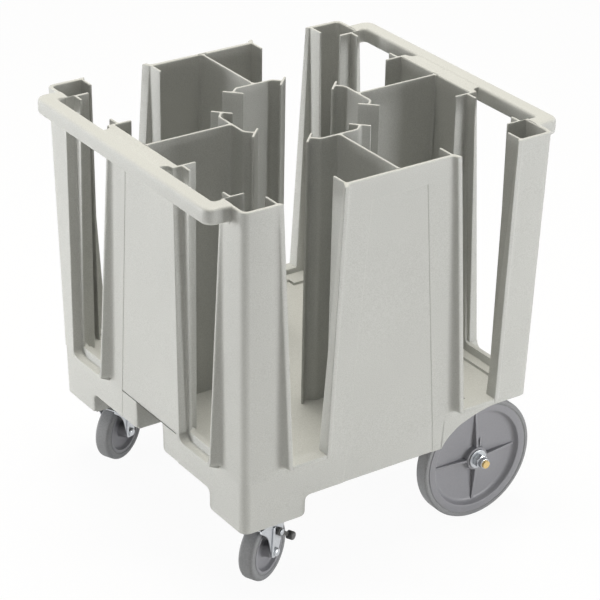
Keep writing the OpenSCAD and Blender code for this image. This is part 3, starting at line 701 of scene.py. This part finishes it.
def divider_outline(z):
    """Divider in place and distance: wall, cross bar, slanted ends and their flanges."""
    t = FIN_T / 2
    c = math.sqrt(0.5)
    root = panel_face(POST_X, z) - WALL
    stub, flange = np.array([c, -c]), np.array([c, c])
    tip = np.array([BAR_HALF, BAR_AT - t]) + STUB * stub
    spread = t + ROOT_SPREAD
    half = [(spread, root + ROOT_SINK), (spread, root), (t, root), (t, BAR_AT),
            (BAR_HALF + BAR_KNEE, BAR_AT)]
    half += [tuple(v) for v in (
        tip + t * flange - t * stub, tip + FLANGE * flange - t * stub,
        tip + FLANGE * flange + t * stub, tip - FLANGE * flange + t * stub,
        tip - FLANGE * flange - t * stub, tip - t * flange - t * stub)]
    half += [(BAR_HALF - BAR_KNEE, BAR_AT - FIN_T)]
    cuts = [0.5, 3, 9, 7, 6, 4, 1.6, 1.6, 1.6, 1.6, 4, 6]
    return both_halves(half), cuts + cuts[::-1]


def side_sill(z):
    """Side slot's sill in place and distance, between the two jambs."""
    front = lip_front(SIDE_LIP, panel_face(POST_Y, z), z, SIDE_LIP_END) - SILL_BACK
    start, stop = along(SIDE_SLOT[0], z), along(SIDE_SLOT[1], z)
    back = post_face(POST_Y, SEAM) - WALL
    return [(start, back), (start, front), (stop, front), (stop, back)], [0.3] * 4


def end_sill():
    """End slot's sill: a round lower front edge, a shelf, and a riser to the sill.

    The section is carried along the slot, and near each jamb its top follows a quarter circle upwards.
    """
    start, stop = along(END_SLOT[0], LAND_Z), along(END_SLOT[1], LAND_Z)
    face = post_face(POST_X, SEAM)
    front, land, back = along(END_LIP, LAND_Z) - SILL_BACK, LAND_FACE[1], face - WALL
    section = [(back, SEAM), (face, SEAM), (front, END_LIP_END + 2), (front, LAND_Z), (land, LAND_Z),
               (land, END_SILL), (back, END_SILL)]
    ring = soften(section, [0.3, 3, 3, 2, 2.5, 1.6, 0.3])
    # Stations close together near the jambs and wide apart in the middle
    near = np.linspace(0, 1, 7) ** 2 / 4
    rows = []
    for share in np.concatenate([near, 1 - near[::-1]]):
        place = start + (stop - start) * share
        gap = max(CORNER_CUT - min(place - start, stop - place), 0)
        lift = CORNER_CUT - math.sqrt(CORNER_CUT ** 2 - gap ** 2)
        z = np.where(ring[:, 1] > LAND_Z - 3, ring[:, 1] + lift, ring[:, 1])
        z = np.minimum(z, np.maximum(ring[:, 1], END_SILL + lift * 0.3))
        rows.append(np.column_stack([np.full(len(ring), place), ring[:, 0], z]))
    return loft(np.array(rows))


# The apron: the wall below the posts and panels

def edge_path(corners, cuts, gap=0.8):
    """Open path whose corners are quadratic curves, cut into steps no longer than the gap."""
    p = np.asarray(corners, float)
    c = np.asarray(cuts, float)[:, None]
    back = p[:-2] - p[1:-1]
    ahead = p[2:] - p[1:-1]
    a = p[1:-1] + back / np.linalg.norm(back, axis=1, keepdims=True) * c
    b = p[1:-1] + ahead / np.linalg.norm(ahead, axis=1, keepdims=True) * c
    t = np.linspace(0, 1, 6)[None, :, None]
    curve = (1 - t) ** 2 * a[:, None] + 2 * t * (1 - t) * p[1:-1, None] + t ** 2 * b[:, None]
    dense = np.vstack([p[:1], curve.reshape(-1, 2), p[-1:]])
    run = np.concatenate([[0], np.cumsum(np.linalg.norm(np.diff(dense, axis=0), axis=1))])
    more = np.union1d(np.arange(0, run[-1], gap), run)
    return np.column_stack([np.interp(more, run, dense[:, 0]), np.interp(more, run, dense[:, 1])])


# Front half of a wheel arch: distance ahead of the side's middle and height, from its crown down
ARCH = [(262, 246), (239, 245.1), (217, 239.5), (189, 231), (164.8, 222), (141.9, 204.4),
        (129.7, 189.3), (127, SKIRT_Z)]

# The wall's run in three stretches: half the end's flat part, the round corner, half the side's flat part
END_RUN = POST_Y - CORNER_R - 15
CORNER_RUN = math.pi / 2 * CORNER_R
SIDE_RUN = POST_X - CORNER_R - 13


def wall_points(run, z, depth, recess):
    """Points of the apron from their run along the wall and their height.

    The run starts at the middle of the end and goes round the corner to the side. Inside the sunk field
    the wall lies back by the recess.
    """
    lean = (TOP - z) * LEAN
    turn = np.clip((run - END_RUN) / CORNER_RUN, 0, 1) * math.pi / 2
    on_end = run <= END_RUN
    on_side = run >= END_RUN + CORNER_RUN
    cx, cy = POST_X - CORNER_R - lean, POST_Y - CORNER_R - lean
    r = CORNER_R - depth
    x = np.where(on_side, cx - (run - END_RUN - CORNER_RUN) * cx / SIDE_RUN, cx + r * np.cos(turn))
    y = np.where(on_end, run * cy / END_RUN, cy + r * np.sin(turn))
    edge = recess_edge(z)
    end_sunk = recess * np.clip((edge - np.abs(y)) / RECESS_STEP, 0, 1)
    side_sunk = recess * np.clip((edge - np.abs(x)) / RECESS_STEP, 0, 1)
    return np.column_stack([x - end_sunk * on_end, y - side_sunk * on_side, z])


def apron(recess):
    """Front and side wall below the slots.

    Each point of the lower edge has a section across the wall, with a half circle round the edge, carried
    straight up to the seam on both faces.
    """
    middle = END_RUN + CORNER_RUN + SIDE_RUN
    arch = [(middle + ahead, z) for ahead, z in ARCH]
    leg = [(middle - LEG_X, SKIRT_Z), (middle - LEG_X, LEG_Z), (LEG_Y, LEG_Z), (LEG_Y, SKIRT_Z)]
    notch = [(NOTCH, SKIRT_Z), (NOTCH, SEAM)]
    line = edge_path(arch + leg + notch, [8, 8, 8, 8, 8, 6, 5, 12, 12, 12, 12, 12])
    step = np.gradient(line, axis=0)
    step /= np.linalg.norm(step, axis=1, keepdims=True)
    up = np.column_stack([step[:, 1], -step[:, 0]])
    up *= np.where(up[:, 1:] < -0.01, -1, 1)
    r = np.clip((SEAM - line[:, 1]) * 0.4, 0.05, EDGE_R)[:, None]
    even = np.linspace(0, 1, len(line))
    spread = line[0, 0] + (line[-1, 0] - line[0, 0]) * even
    top_run = line[:, 0] * (1 - TOP_SPREAD) + spread * TOP_SPREAD
    rows = []

    def row(place, depth):
        z = np.minimum(place[:, 1], SEAM)
        rows.append(wall_points(place[:, 0], z, depth, recess))

    high = np.column_stack([top_run, np.full(len(line), float(SEAM))])
    for share in np.linspace(0, 1, 14)[:-1]:
        row(high + (line + up * r - high) * share, 0)
    for turn in TURNS:
        row(line + up * r * (1 - math.sin(turn)), (r * (1 - math.cos(turn)))[:, 0])
    for turn in TURNS[::-1]:
        row(line + up * r * (1 - math.sin(turn)), WALL - (r * (1 - math.cos(turn)))[:, 0])
    row(high, WALL)
    grid = np.array(rows).transpose(1, 0, 2)
    return loft(grid)


def leg_box():
    """Inner walls of a front leg, the pad over its caster and the wall beside the front notch."""
    low_x, low_y = post_face(POST_X, LEG_Z) - WALL / 2, post_face(POST_Y, LEG_Z) - WALL / 2
    x, y, t = LEG_X, LEG_Y, LEG_WALL
    walls = ([(low_x, y), (x, y), (x, low_y), (x + t, low_y), (x + t, y + t), (low_x, y + t)],
             [0.5, 8, 0.5, 0.5, 4, 0.5])
    pad = [(x + 1, y + 1), (low_x, y + 1), (low_x, low_y), (x + 1, low_y)], [1] * 4
    notch = ([(low_x - NOTCH_DEPTH, NOTCH), (low_x, NOTCH), (low_x, NOTCH + WALL),
              (low_x - NOTCH_DEPTH, NOTCH + WALL)], [1] * 4)
    edge, foot, middle = CLOSE_EDGE, 1.5, 200
    return join(upright(lambda z: walls, [LEG_Z + 1, middle], SEAM, [edge] * 6, foot),
                upright(lambda z: pad, [PAD_Z, PAD_Z + 3], PAD_Z + WALL, [edge] * 4),
                upright(lambda z: notch, [SKIRT_Z, middle], SEAM, [edge] * 4, foot))


def rail():
    """Rail of a handle, with its bends and the arms into the posts.

    The section is a circle whose sine and cosine are raised to a power below one, which squares it. Each
    of its lines runs along the bar, round a tight bend and into the post.
    """
    section, bar, elbow, arm = RAIL_POINTS
    a = np.linspace(0, 2 * math.pi, section, endpoint=False)
    s = RAIL_R * np.sign(np.cos(a)) * np.abs(np.cos(a)) ** RAIL_SQUARING
    rise = RAIL_R * np.sign(np.sin(a)) * np.abs(np.sin(a)) ** RAIL_SQUARING
    share = (s + RAIL_R) / (2 * RAIL_R)
    r = ELBOW_R[0] + (ELBOW_R[1] - ELBOW_R[0]) * share
    cx, cy = RAIL_X + s - r, ARM_Y + s - r
    t = np.linspace(0, 1, bar)[:, None]
    bend = np.linspace(0, math.pi / 2, elbow)[1:, None]
    into = np.linspace(0, 1, arm)[1:, None]
    inner = POST_X - WALL + 2
    x = np.vstack([RAIL_X + s + 0 * t, cx + r * np.cos(bend), cx + (inner - cx) * into])
    y = np.vstack([cy * t, cy + r * np.sin(bend), ARM_Y + s * (1 + ARM_FLARE * into ** 2)])
    z = RAIL_Z + rise + np.vstack([0 * t, 0 * bend, -ARM_DROP * into ** 2])
    x = np.vstack([x[::-1], x[1:]])
    y = np.vstack([y[::-1], -y[1:]])
    z = np.vstack([z[::-1], z[1:]])
    return loft(np.stack([x, y, z], -1))


def handle_plate():
    """Flat plate between rail and middle panel, with hollow curves where it meets them."""
    root = END_SLOT[0][0] - 2
    half = [(PLATE_HALF + 9, RAIL_X - 6), (PLATE_HALF + 1, RAIL_X - 14), (PLATE_HALF, POST_X + 10),
            (PLATE_HALF + 5, POST_X + 1), (root, POST_X - 1), (root, POST_X - 13)]
    cuts = [0.5, 5, 5, 4, 1, 0.5]
    ring = both_halves(half), cuts + cuts[::-1]
    low, high = TOP - PLATE_T, TOP - 0.1
    return upright(lambda z: ring, [low, low + 4], high, [0.8] * len(ring[1]), foot=2)


def socket_mark():
    """Small drip-shaped gusset under an elbow, where the rail meets the post.

    Oval rings run down the post's face and sink into the wall. They narrow slowly at first, and fast
    near the tip.
    """
    t = np.linspace(0, 1, 9)[:, None]
    a = np.linspace(0, 2 * math.pi, 16, endpoint=False)
    width = MARK_W * np.sqrt(1 - t ** 1.5) + 0.3
    x = POST_X - 3 + MARK_RISE * (1 - t) + width / 2 * np.cos(a)
    y = MARK_Y + width * np.sin(a)
    z = MARK_TOP - MARK_H * t + 0 * a
    return loft(np.stack([x - (TOP - z) * LEAN, y, z], -1))


# Turned pieces

def turned(profile, cuts, count=128):
    """Closed profile of radius and height carried round the Z axis."""
    ring = soften(profile, cuts)
    a = np.linspace(0, 2 * math.pi, count, endpoint=False)[:, None]
    points = np.stack([ring[:, 0] * np.cos(a), ring[:, 0] * np.sin(a), ring[:, 1] + 0 * a], -1)
    return points.reshape(-1, 3), grid_quads(*points.shape[:2], ring=True)


def slab(corners, cuts, low, high, edge):
    """Flat outline given thickness, with both its edges rounded."""
    levels = [low, low + edge * 1.2]
    return upright(lambda z: (corners, cuts), levels, high, [edge] * len(corners), foot=edge)


def placed(shape, matrix):
    """Points turned and moved by a matrix in millimetres."""
    points, faces = shape
    m = np.array(matrix)
    return points @ m[:3, :3].T + m[:3, 3], faces


def turn_about(axis, degrees):
    """Turn about an axis through the origin."""
    return Matrix.Rotation(math.radians(degrees), 4, axis)


# Lays a shape made along Z across the cart or the caster
LAY = turn_about("X", 90)


def wheel_place(sign):
    """Frame of a rear wheel: local Z runs inwards from its outer face."""
    return Matrix.Translation((AXLE_X, sign * WHEEL_FACE, WHEEL_R)) @ turn_about("X", 90 * sign)


def caster_place(sign):
    """Frame of a caster: local X along its heading, origin on the ground under its kingpin."""
    return Matrix.Translation((SWIVEL[0], sign * SWIVEL[1], 0)) @ turn_about("Z", HEADING)


def rear_tyre(depth):
    """Tyre with a groove beside the rim and a rounded tread."""
    r, w, tread = WHEEL_R, WHEEL_W, TREAD_EDGE
    return turned([(RIM_R, depth), (RIM_R + GROOVE[0], depth), (RIM_R + GROOVE[1], 0), (r - tread, 0),
                   (r, tread), (r, w - tread), (r - tread, w), (RIM_R, w)],
                  [0.3, 0.6, 0.8, 1.5, 1.8, 1.8, 1.5, 0.5])


def rear_wheel(rib):
    """Wheel centre: rim, sunk disc, hub and tapered ribs on both sides."""
    mid = WHEEL_W / 2
    deep = DISC_IN
    profile = [(BUSHING_R, 0), (HUB_R, 0), (HUB_R + 1, deep), (RIM_IN - 4, deep), (RIM_IN + 1, 0.3),
               (RIM_R, 0.3), (RIM_R, WHEEL_W), (RIM_IN, WHEEL_W), (RIM_IN - 3, WHEEL_W - deep),
               (HUB_R + 1, WHEEL_W - deep), (HUB_R, HUB_L), (BUSHING_R, HUB_L)]
    parts = [turned(profile, [0.5, 1.6, 3, 7, 1.6, 0.4, 0.4, 1.6, 6, 3, 1.6, 0.5])]
    root, tip = HUB_R - 3, RIM_IN + 1
    wedge = [(root, 1.5), (HUB_R + 2, 1.2), (tip, deep - 1.5), (tip, mid), (root, mid)]
    flat = slab(wedge, [0.4, 2, 2, 0.4, 0.4], -rib / 2, rib / 2, 0.9)
    back = Matrix.Translation((0, 0, WHEEL_W)) @ Matrix.Scale(-1, 4, (0, 0, 1))
    for turn in range(RIBS):
        spin = turn_about("Z", 360 / RIBS * turn)
        parts.append(placed(flat, spin @ LAY))
        parts.append(placed(flat, back @ spin @ LAY))
    web = [(root, 5), (HUB_R + 1, 4.5), (HUB_R + 19, deep + 0.5), (root, deep + 0.5)]
    gusset = slab(web, [0.4, 1, 0.6, 0.4], -GUSSET_T / 2, GUSSET_T / 2, 0.7)
    parts.append(placed(gusset, turn_about("Z", GUSSET_TURN) @ LAY))
    return join(*parts)


def hex_nut(width, height, bore):
    """Nut with chamfered corners: the hexagon's radius is cut by a cone near both faces."""
    a = np.linspace(0, 2 * math.pi, 72, endpoint=False)
    flat = width / 2 / np.cos((a + math.pi / 6) % (math.pi / 3) - math.pi / 6)
    small = width / 2 * 0.96
    fall = (flat - small) * 0.55
    rows = [(bore, 0), (small, 0), (flat, fall), (flat, height - fall), (small, height), (bore, height)]
    grid = np.array([np.column_stack([r * np.cos(a), r * np.sin(a), z + 0 * a]) for r, z in rows])
    return grid.reshape(-1, 3), grid_quads(*grid.shape[:2], ring=True)


def both_faces(half, cuts):
    """Profile and cuts of a turned piece that is the same on both faces, from one half of each."""
    return half + [(r, -z) for r, z in half[::-1]], cuts + cuts[::-1]


def caster_tyre(depth):
    """Caster tyre with a flat tread between two rounded shoulders."""
    r, rim, w, shoulder = CASTER_R, CASTER_RIM, CASTER_W / 2, CASTER_SHOULDER
    half = [(rim, depth - w), (rim + CASTER_GROOVE[0], depth - w), (rim + CASTER_GROOVE[1], -w),
            (r - shoulder, -w), (r, shoulder - w)]
    return turned(*both_faces(half, [0.3, 0.6, 0.8, 3, 3.5]), count=96)


def caster_wheel():
    """Caster wheel centre with a sunk web on both sides and a hub."""
    w, h = CASTER_W / 2, LEG_IN - 0.5
    bore, hub, rim = BOLT_R + 0.06, CASTER_HUB, CASTER_RIM
    half = [(bore, -h), (hub, -h), (hub + 2, -WEB), (rim - 8, -WEB), (rim - 5, 0.4 - w), (rim, 0.4 - w)]
    return turned(*both_faces(half, [0.4, 1.5, 3, 4, 1, 0.4]), count=96)


def fork():
    """Caster fork: crown, race housing, two legs and the bent edge of the brake's side.

    A leg is a flat plate: a hood over the tyre, a throat, and a rounded eye round the bolt.
    """
    top, r = CROWN_Z + FORK_T, CASTER_R
    front, back = CROWN_REACH
    hood = [(12, top), (front, top), (front - 3, CROWN_Z - 2), HOOD_THROAT]
    eye = [(-TRAIL - 13, r + 2), (-TRAIL - 10, r - 12), (-TRAIL + 10, r - 12), (-TRAIL + 14, r)]
    leg = hood + eye + [LEG_SHOULDER]
    flat = slab(leg, [2, 2, 2, 18, 9, 9, 9, 6, 14], 0, FORK_T, 0.9)
    bend = slab(BENT_EDGE, [2] * len(BENT_EDGE), 0, FORK_T, 1.2)
    crown = [(front, -LEG_OUT), (back, -LEG_OUT), (back, LEG_OUT), (front, LEG_OUT)]
    race = [(KINGPIN_R, top - 1), (RACE_R - 5, top - 1), (RACE_R - 1, CROWN_Z + 10),
            (RACE_R, RACE_TOP - 6), (RACE_R - 2, RACE_TOP), (KINGPIN_R, RACE_TOP)]
    return join(placed(flat, Matrix.Translation((0, LEG_OUT, 0)) @ LAY),
                placed(flat, Matrix.Translation((0, -LEG_IN, 0)) @ LAY),
                placed(bend, Matrix.Translation((0, 0.3 - LEG_OUT, 0)) @ LAY),
                slab(crown, [3] * 4, CROWN_Z, top, 1.0),
                turned(race, [0.3, 2, 4, 3, 1.5, 0.3], count=64))


def across(place, shape):
    """A shape made along Z, laid along the caster's axle at a place in its rolling plane."""
    return placed(shape, Matrix.Translation((place[0], 0, place[1])) @ LAY)


def caster_bolt():
    """Axle bolt with a domed head outside each fork leg."""
    end = LEG_OUT + HEAD_H
    half = [(ON_AXIS, end), (6, end - 0.4), (HEAD_R, end - 3), (HEAD_R, LEG_OUT), (BOLT_R, LEG_OUT)]
    profile, cuts = both_faces(half, [0.001, 2, 1.2, 0.3, 0.3])
    return across((-TRAIL, CASTER_R), turned(profile, cuts, count=64))


def lever_pin():
    """Pin of the brake lever, with a flat head."""
    head, end = LEG_OUT + HEAD_H, LEG_OUT + HEAD_H + 3
    profile = [(ON_AXIS, LEG_OUT), (PIN_R, LEG_OUT), (PIN_R, head), (2 * PIN_R, head),
               (2 * PIN_R, end), (ON_AXIS, end)]
    return across(LEVER_PIN, turned(profile, [0.001, 0.3, 0.3, 0.5, 1, 0.001], count=48))


def brake_lever():
    """Brake lever: a round boss on the pin, a tapering arm and a round pedal with soft edges."""
    low, bore = LEG_OUT + 0.5, PIN_R + 0.1
    boss = turned([(bore, low), (BOSS_R, low), (BOSS_R, low + 6), (bore, low + 6)],
                  [0.3, 1, 1.6, 0.3], count=64)
    high = low + PEDAL_W
    pedal = turned([(ON_AXIS, low), (PEDAL_R, low), (PEDAL_R, high), (ON_AXIS, high)],
                   [0.001, 1, 3, 0.001], count=64)
    run = Vector(PEDAL) - Vector(LEVER_PIN)
    ahead = run.normalized()
    aside = Vector((-ahead.y, ahead.x))
    root, tip = ahead * 6, run - ahead * 2
    ends = (root + aside * 5, tip + aside * 3.6, tip - aside * 3.6, root - aside * 5)
    arm = slab([tuple(v) for v in ends], [1] * 4, low + 0.4, low + 0.4 + LEVER_T, 1.2)
    return join(across(LEVER_PIN, boss), across(PEDAL, pedal), across(LEVER_PIN, arm))


def washer():
    """Thin washer, its outer face away from the wheel."""
    return turned([(AXLE_R, 0), (WASHER_R, 0), (WASHER_R, WASHER_T), (AXLE_R, WASHER_T)],
                  [0.3, 0.6, 0.6, 0.3], count=64)


def locking_nut():
    """Nut with a slightly tapered collar on its outer face."""
    bore = AXLE_R + 0.1
    low = NUT_H - 0.5
    collar = turned([(bore, low), (COLLAR_R[0], low), (COLLAR_R[1], COLLAR_H), (bore, COLLAR_H)],
                    [0.3, 0.3, 2.2, 0.6], count=64)
    return join(hex_nut(NUT_ACROSS, NUT_H, AXLE_R), collar)


# Operators

class CartMaterials(bpy.types.Operator):
    """Make the cart's finishes and give them to the CAD pieces that stay."""

    bl_idname = "cart.materials"
    bl_label = "Finishes"

    def execute(self, context):
        make_materials(context.scene.cart_body, context.scene.cart_wheels)
        slots = {s["node"]: s["material_slot"] for s in frame["record"]["subparts"]}
        for name, kept in frame["nodes"].items():
            kept.data.materials.clear()
            kept.data.materials.append(MATERIALS[slots[name]])
        return {"FINISHED"}


class CartWalls(bpy.types.Operator):
    """Make the middle panels and the corner posts with their lips, fins, arms and lands."""

    bl_idname = "cart.walls"
    bl_label = "Panels and posts"

    def execute(self, context):
        body = context.scene.cart_body
        thick, thin, depth = body.wall_edge / MM, body.fin_edge / MM, body.recess / MM
        # Radius of the top edge on each side of an outline, in the order of its corners. It is small
        # where a side is short or lies close to another wall.
        side_r = [thick] * 4 + [thin] * 5
        end_r = [thick] * 4 + [thin] * 4 + [SHORT_EDGE] * 2 + [thin] * 3
        post_r = ([thick] * 2 + [CLOSE_EDGE] + [thin] * 3 + [SHORT_EDGE] * 2 + [thin] * 2
                  + [CLOSE_EDGE] + [thick] * 2 + [thin] * 5 + [thick] * 4)
        side = upright(lambda z: side_panel_outline(z, depth), LEVELS, TOP,
                       side_r + [thick] + side_r[::-1] + [thick])
        end = upright(lambda z: end_panel_outline(z, depth), LEVELS, TOP,
                      end_r + [thick] + end_r[::-1] + [thick])
        post = upright(post_outline, LEVELS, TOP, post_r)
        for name, sign in SIDES:
            piece(name + "_panel_moulding", mirrored(side, 1, sign), "body_resin", "cart",
                  name + "_panel")
        for name, sign in ENDS:
            piece(name + "_panel_moulding", mirrored(end, sign, 1, swap=True), "body_resin", "cart",
                  name + "_panel")
            for side_name, side_sign in SIDES:
                node = name + "_" + side_name + "_post"
                piece(node + "_moulding", mirrored(post, sign, side_sign), "body_resin", "cart", node)
        return {"FINISHED"}


class CartDividers(bpy.types.Operator):
    """Make the four dividers of the bays."""

    bl_idname = "cart.dividers"
    bl_label = "Dividers"

    def execute(self, context):
        thin = context.scene.cart_body.fin_edge / MM
        shape = upright(divider_outline, DIVIDER_LEVELS, TOP, [thin] * DIVIDER_CORNERS)
        for name, sign in SIDES:
            piece(name + "_divider_moulding", mirrored(shape, 1, sign), "body_resin", "cart",
                  name + "_divider")
        for name, sign in ENDS:
            piece(name + "_divider_moulding", mirrored(shape, sign, 1, swap=True), "body_resin",
                  "cart", name + "_divider")
        return {"FINISHED"}


class CartBase(bpy.types.Operator):
    """Make the slot sills, the apron with its wheel arches and the front legs."""

    bl_idname = "cart.base"
    bl_label = "Base"

    def execute(self, context):
        radii = [SHORT_EDGE, 1.6, SHORT_EDGE, SHORT_EDGE]
        sill = upright(side_sill, SILL_LEVELS, SIDE_SILL, radii)
        for name, sign in SIDES:
            shape = join(mirrored(sill, 1, sign), mirrored(sill, -1, sign))
            piece(name + "_sills", shape, "body_resin", "cart", name + "_skirt")
        end = end_sill()
        for name, sign in ENDS:
            shape = join(mirrored(end, sign, 1, swap=True), mirrored(end, sign, -1, swap=True))
            piece(name + "_sills", shape, "body_resin", "cart", name + "_skirt")
        wall, box = apron(context.scene.cart_body.recess / MM), leg_box()
        for name, sign in SIDES:
            piece(name + "_apron", mirrored(wall, -1, sign), "body_resin", "cart")
            piece(name + "_leg_box", mirrored(box, -1, sign), "body_resin", "cart",
                  "front_" + name + "_leg")
        return {"FINISHED"}


class CartHandles(bpy.types.Operator):
    """Make the handle rails with their elbows and plates."""

    bl_idname = "cart.handles"
    bl_label = "Handles"

    def execute(self, context):
        bar, plate, mark = rail(), handle_plate(), socket_mark()
        for name, sign in ENDS:
            shape = join(mirrored(bar, sign, 1), mirrored(plate, sign, 1, swap=True),
                         mirrored(mark, sign, 1), mirrored(mark, sign, -1))
            piece(name + "_rail", shape, "body_resin", "cart", name + "_handle")
        return {"FINISHED"}


class CartRearWheels(bpy.types.Operator):
    """Make the large wheels with tyres, ribbed centres, washers and nuts."""

    bl_idname = "cart.rear_wheels"
    bl_label = "Rear wheels"

    def execute(self, context):
        sizes = context.scene.cart_wheels
        tyre, centre = rear_tyre(sizes.groove / MM), rear_wheel(sizes.rib / MM)
        nuts, washers = [], []
        for name, sign in SIDES:
            place = wheel_place(sign)
            body = "rear_wheel_body_" + name
            piece("rear_tyre_" + name + "_tread", placed(tyre, place), "tyre", body,
                  "rear_tyre_" + name)
            piece("rear_wheel_" + name + "_centre", placed(centre, place), "wheel_plastic", body,
                  "rear_wheel_" + name)
            outwards = place @ Matrix.Translation((0, 0, -0.5)) @ turn_about("X", 180)
            washers.append(placed(washer(), outwards))
            nuts.append(placed(locking_nut(), outwards @ Matrix.Translation((0, 0, WASHER_T))))
        piece("axle_washers_turned", join(*washers), "zinc", "cart", "axle_washers")
        piece("axle_nuts_chamfered", join(*nuts), "zinc", "cart", "axle_nuts")
        return {"FINISHED"}


class CartCasters(bpy.types.Operator):
    """Make the casters' wheels, tyres, forks, bolts, pins and brake levers."""

    bl_idname = "cart.casters"
    bl_label = "Casters"

    def execute(self, context):
        depth = context.scene.cart_wheels.groove / MM
        axle = (-TRAIL, CASTER_R)
        parts = (("caster_tyre", "tread", across(axle, caster_tyre(depth)), "tyre", "caster_wheel_body"),
                 ("caster_wheel", "centre", across(axle, caster_wheel()), "wheel_plastic",
                  "caster_wheel_body"),
                 ("fork", "pressed", fork(), "zinc", "caster"),
                 ("caster_axle", "bolt", caster_bolt(), "zinc", "caster"),
                 ("lever_pin", "headed", lever_pin(), "zinc", "caster"),
                 ("brake_lever", "moulded", brake_lever(), "lever_plastic", "brake"))
        for side, sign in SIDES:
            for name, kind, shape, slot, body in parts:
                node = name + "_" + side
                piece(node + "_" + kind, placed(shape, caster_place(sign)), slot, body + "_" + side, node)
        return {"FINISHED"}


class CartStage(bpy.types.Operator):
    """Make the floor, the soft studio light, the world and the camera."""

    bl_idname = "cart.stage"
    bl_label = "Stage"

    def execute(self, context):
        floor_material = bpy.data.materials.new("pale_studio_floor")
        floor_material.use_nodes = True
        tree = floor_material.node_tree
        tree.nodes.clear()
        seen = seen_rays(tree)
        share = add(tree, "ShaderNodeMath", {0: seen, 1: 0.95}, operation="MULTIPLY")
        matt = add(tree, "ShaderNodeBsdfDiffuse", {"Color": linear("#F4F4F4")})
        glow = add(tree, "ShaderNodeEmission", {"Color": (1, 1, 1, 1), "Strength": 1.0})
        both = add(tree, "ShaderNodeMixShader", {0: share.outputs[0], 1: matt.outputs[0],
                                                 2: glow.outputs[0]})
        output = add(tree, "ShaderNodeOutputMaterial")
        tree.links.new(both.outputs[0], output.inputs["Surface"])
        mesh = bpy.data.meshes.new("studio_floor")
        half = FLOOR_HALF
        mesh.from_pydata([(-half, -half, 0), (half, -half, 0), (half, half, 0), (-half, half, 0)], [],
                         [(0, 1, 2, 3)])
        mesh.materials.append(floor_material)
        ground = bpy.data.objects.new("studio_floor", mesh)
        context.scene.collection.objects.link(ground)

        for name, place, size, power, colour in LAMPS:
            light = bpy.data.lights.new(name, "AREA")
            light.shape = "RECTANGLE"
            light.size, light.size_y = size
            light.energy = power
            light.color = colour
            lamp = bpy.data.objects.new(name, light)
            lamp.location = place
            aim = Vector(LAMP_AIM) - Vector(place)
            lamp.rotation_euler = aim.to_track_quat("-Z", "Y").to_euler()
            context.scene.collection.objects.link(lamp)

        world = bpy.data.worlds.new("white_studio")
        context.scene.world = world
        world.use_nodes = True
        tree = world.node_tree
        tree.nodes.clear()
        seen = seen_rays(tree)
        dim = add(tree, "ShaderNodeBackground", {"Color": linear("#E9EAE6"), "Strength": 0.14})
        white = add(tree, "ShaderNodeBackground", {"Color": (1, 1, 1, 1), "Strength": 1.0})
        both = add(tree, "ShaderNodeMixShader", {0: seen, 1: dim.outputs[0], 2: white.outputs[0]})
        output = add(tree, "ShaderNodeOutputWorld")
        tree.links.new(both.outputs[0], output.inputs["Surface"])
        context.scene.view_settings.view_transform = "Standard"

        camera = bpy.data.cameras.new("photo_camera")
        camera.sensor_width = 36
        camera.lens = CAMERA_LENS
        camera.clip_end = 60
        seat = bpy.data.objects.new("photo_camera", camera)
        turn = Matrix((CAMERA_RIGHT, CAMERA_UP, -Vector(CAMERA_LOOK))).transposed().to_4x4()
        seat.matrix_world = Matrix.Translation(CAMERA_AT) @ turn
        context.scene.collection.objects.link(seat)
        context.scene.camera = seat
        return {"FINISHED"}


STEPS_IN_ORDER = (CartStage, CartMaterials, CartWalls, CartDividers, CartBase, CartHandles,
                  CartRearWheels, CartCasters)


class CartPanel(bpy.types.Panel):
    """Lists the cart's sizes, colours and steps."""

    bl_idname = "VIEW3D_PT_cart"
    bl_label = "Plate dispenser cart"
    bl_space_type = "VIEW_3D"
    bl_region_type = "UI"
    bl_category = "Cart"

    def draw(self, context):
        for group in (context.scene.cart_body, context.scene.cart_wheels):
            for key in group.bl_rna.properties.keys():
                if key not in ("rna_type", "name"):
                    self.layout.prop(group, key)
        for step in STEPS_IN_ORDER:
            self.layout.operator(step.bl_idname)


CLASSES = (CartBody, CartWheels) + STEPS_IN_ORDER + (CartPanel,)


def register():
    for item in CLASSES:
        bpy.utils.register_class(item)
    bpy.types.Scene.cart_body = bpy.props.PointerProperty(type=CartBody)
    bpy.types.Scene.cart_wheels = bpy.props.PointerProperty(type=CartWheels)


def unregister():
    del bpy.types.Scene.cart_wheels
    del bpy.types.Scene.cart_body
    for item in reversed(CLASSES):
        bpy.utils.unregister_class(item)


def main():
    """Registers the add-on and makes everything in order."""
    register()
    bpy.ops.cart.stage()
    bpy.ops.cart.materials()
    bpy.ops.cart.walls()
    bpy.ops.cart.dividers()
    bpy.ops.cart.base()
    bpy.ops.cart.handles()
    bpy.ops.cart.rear_wheels()
    bpy.ops.cart.casters()


if __name__ == "__main__":
    main()
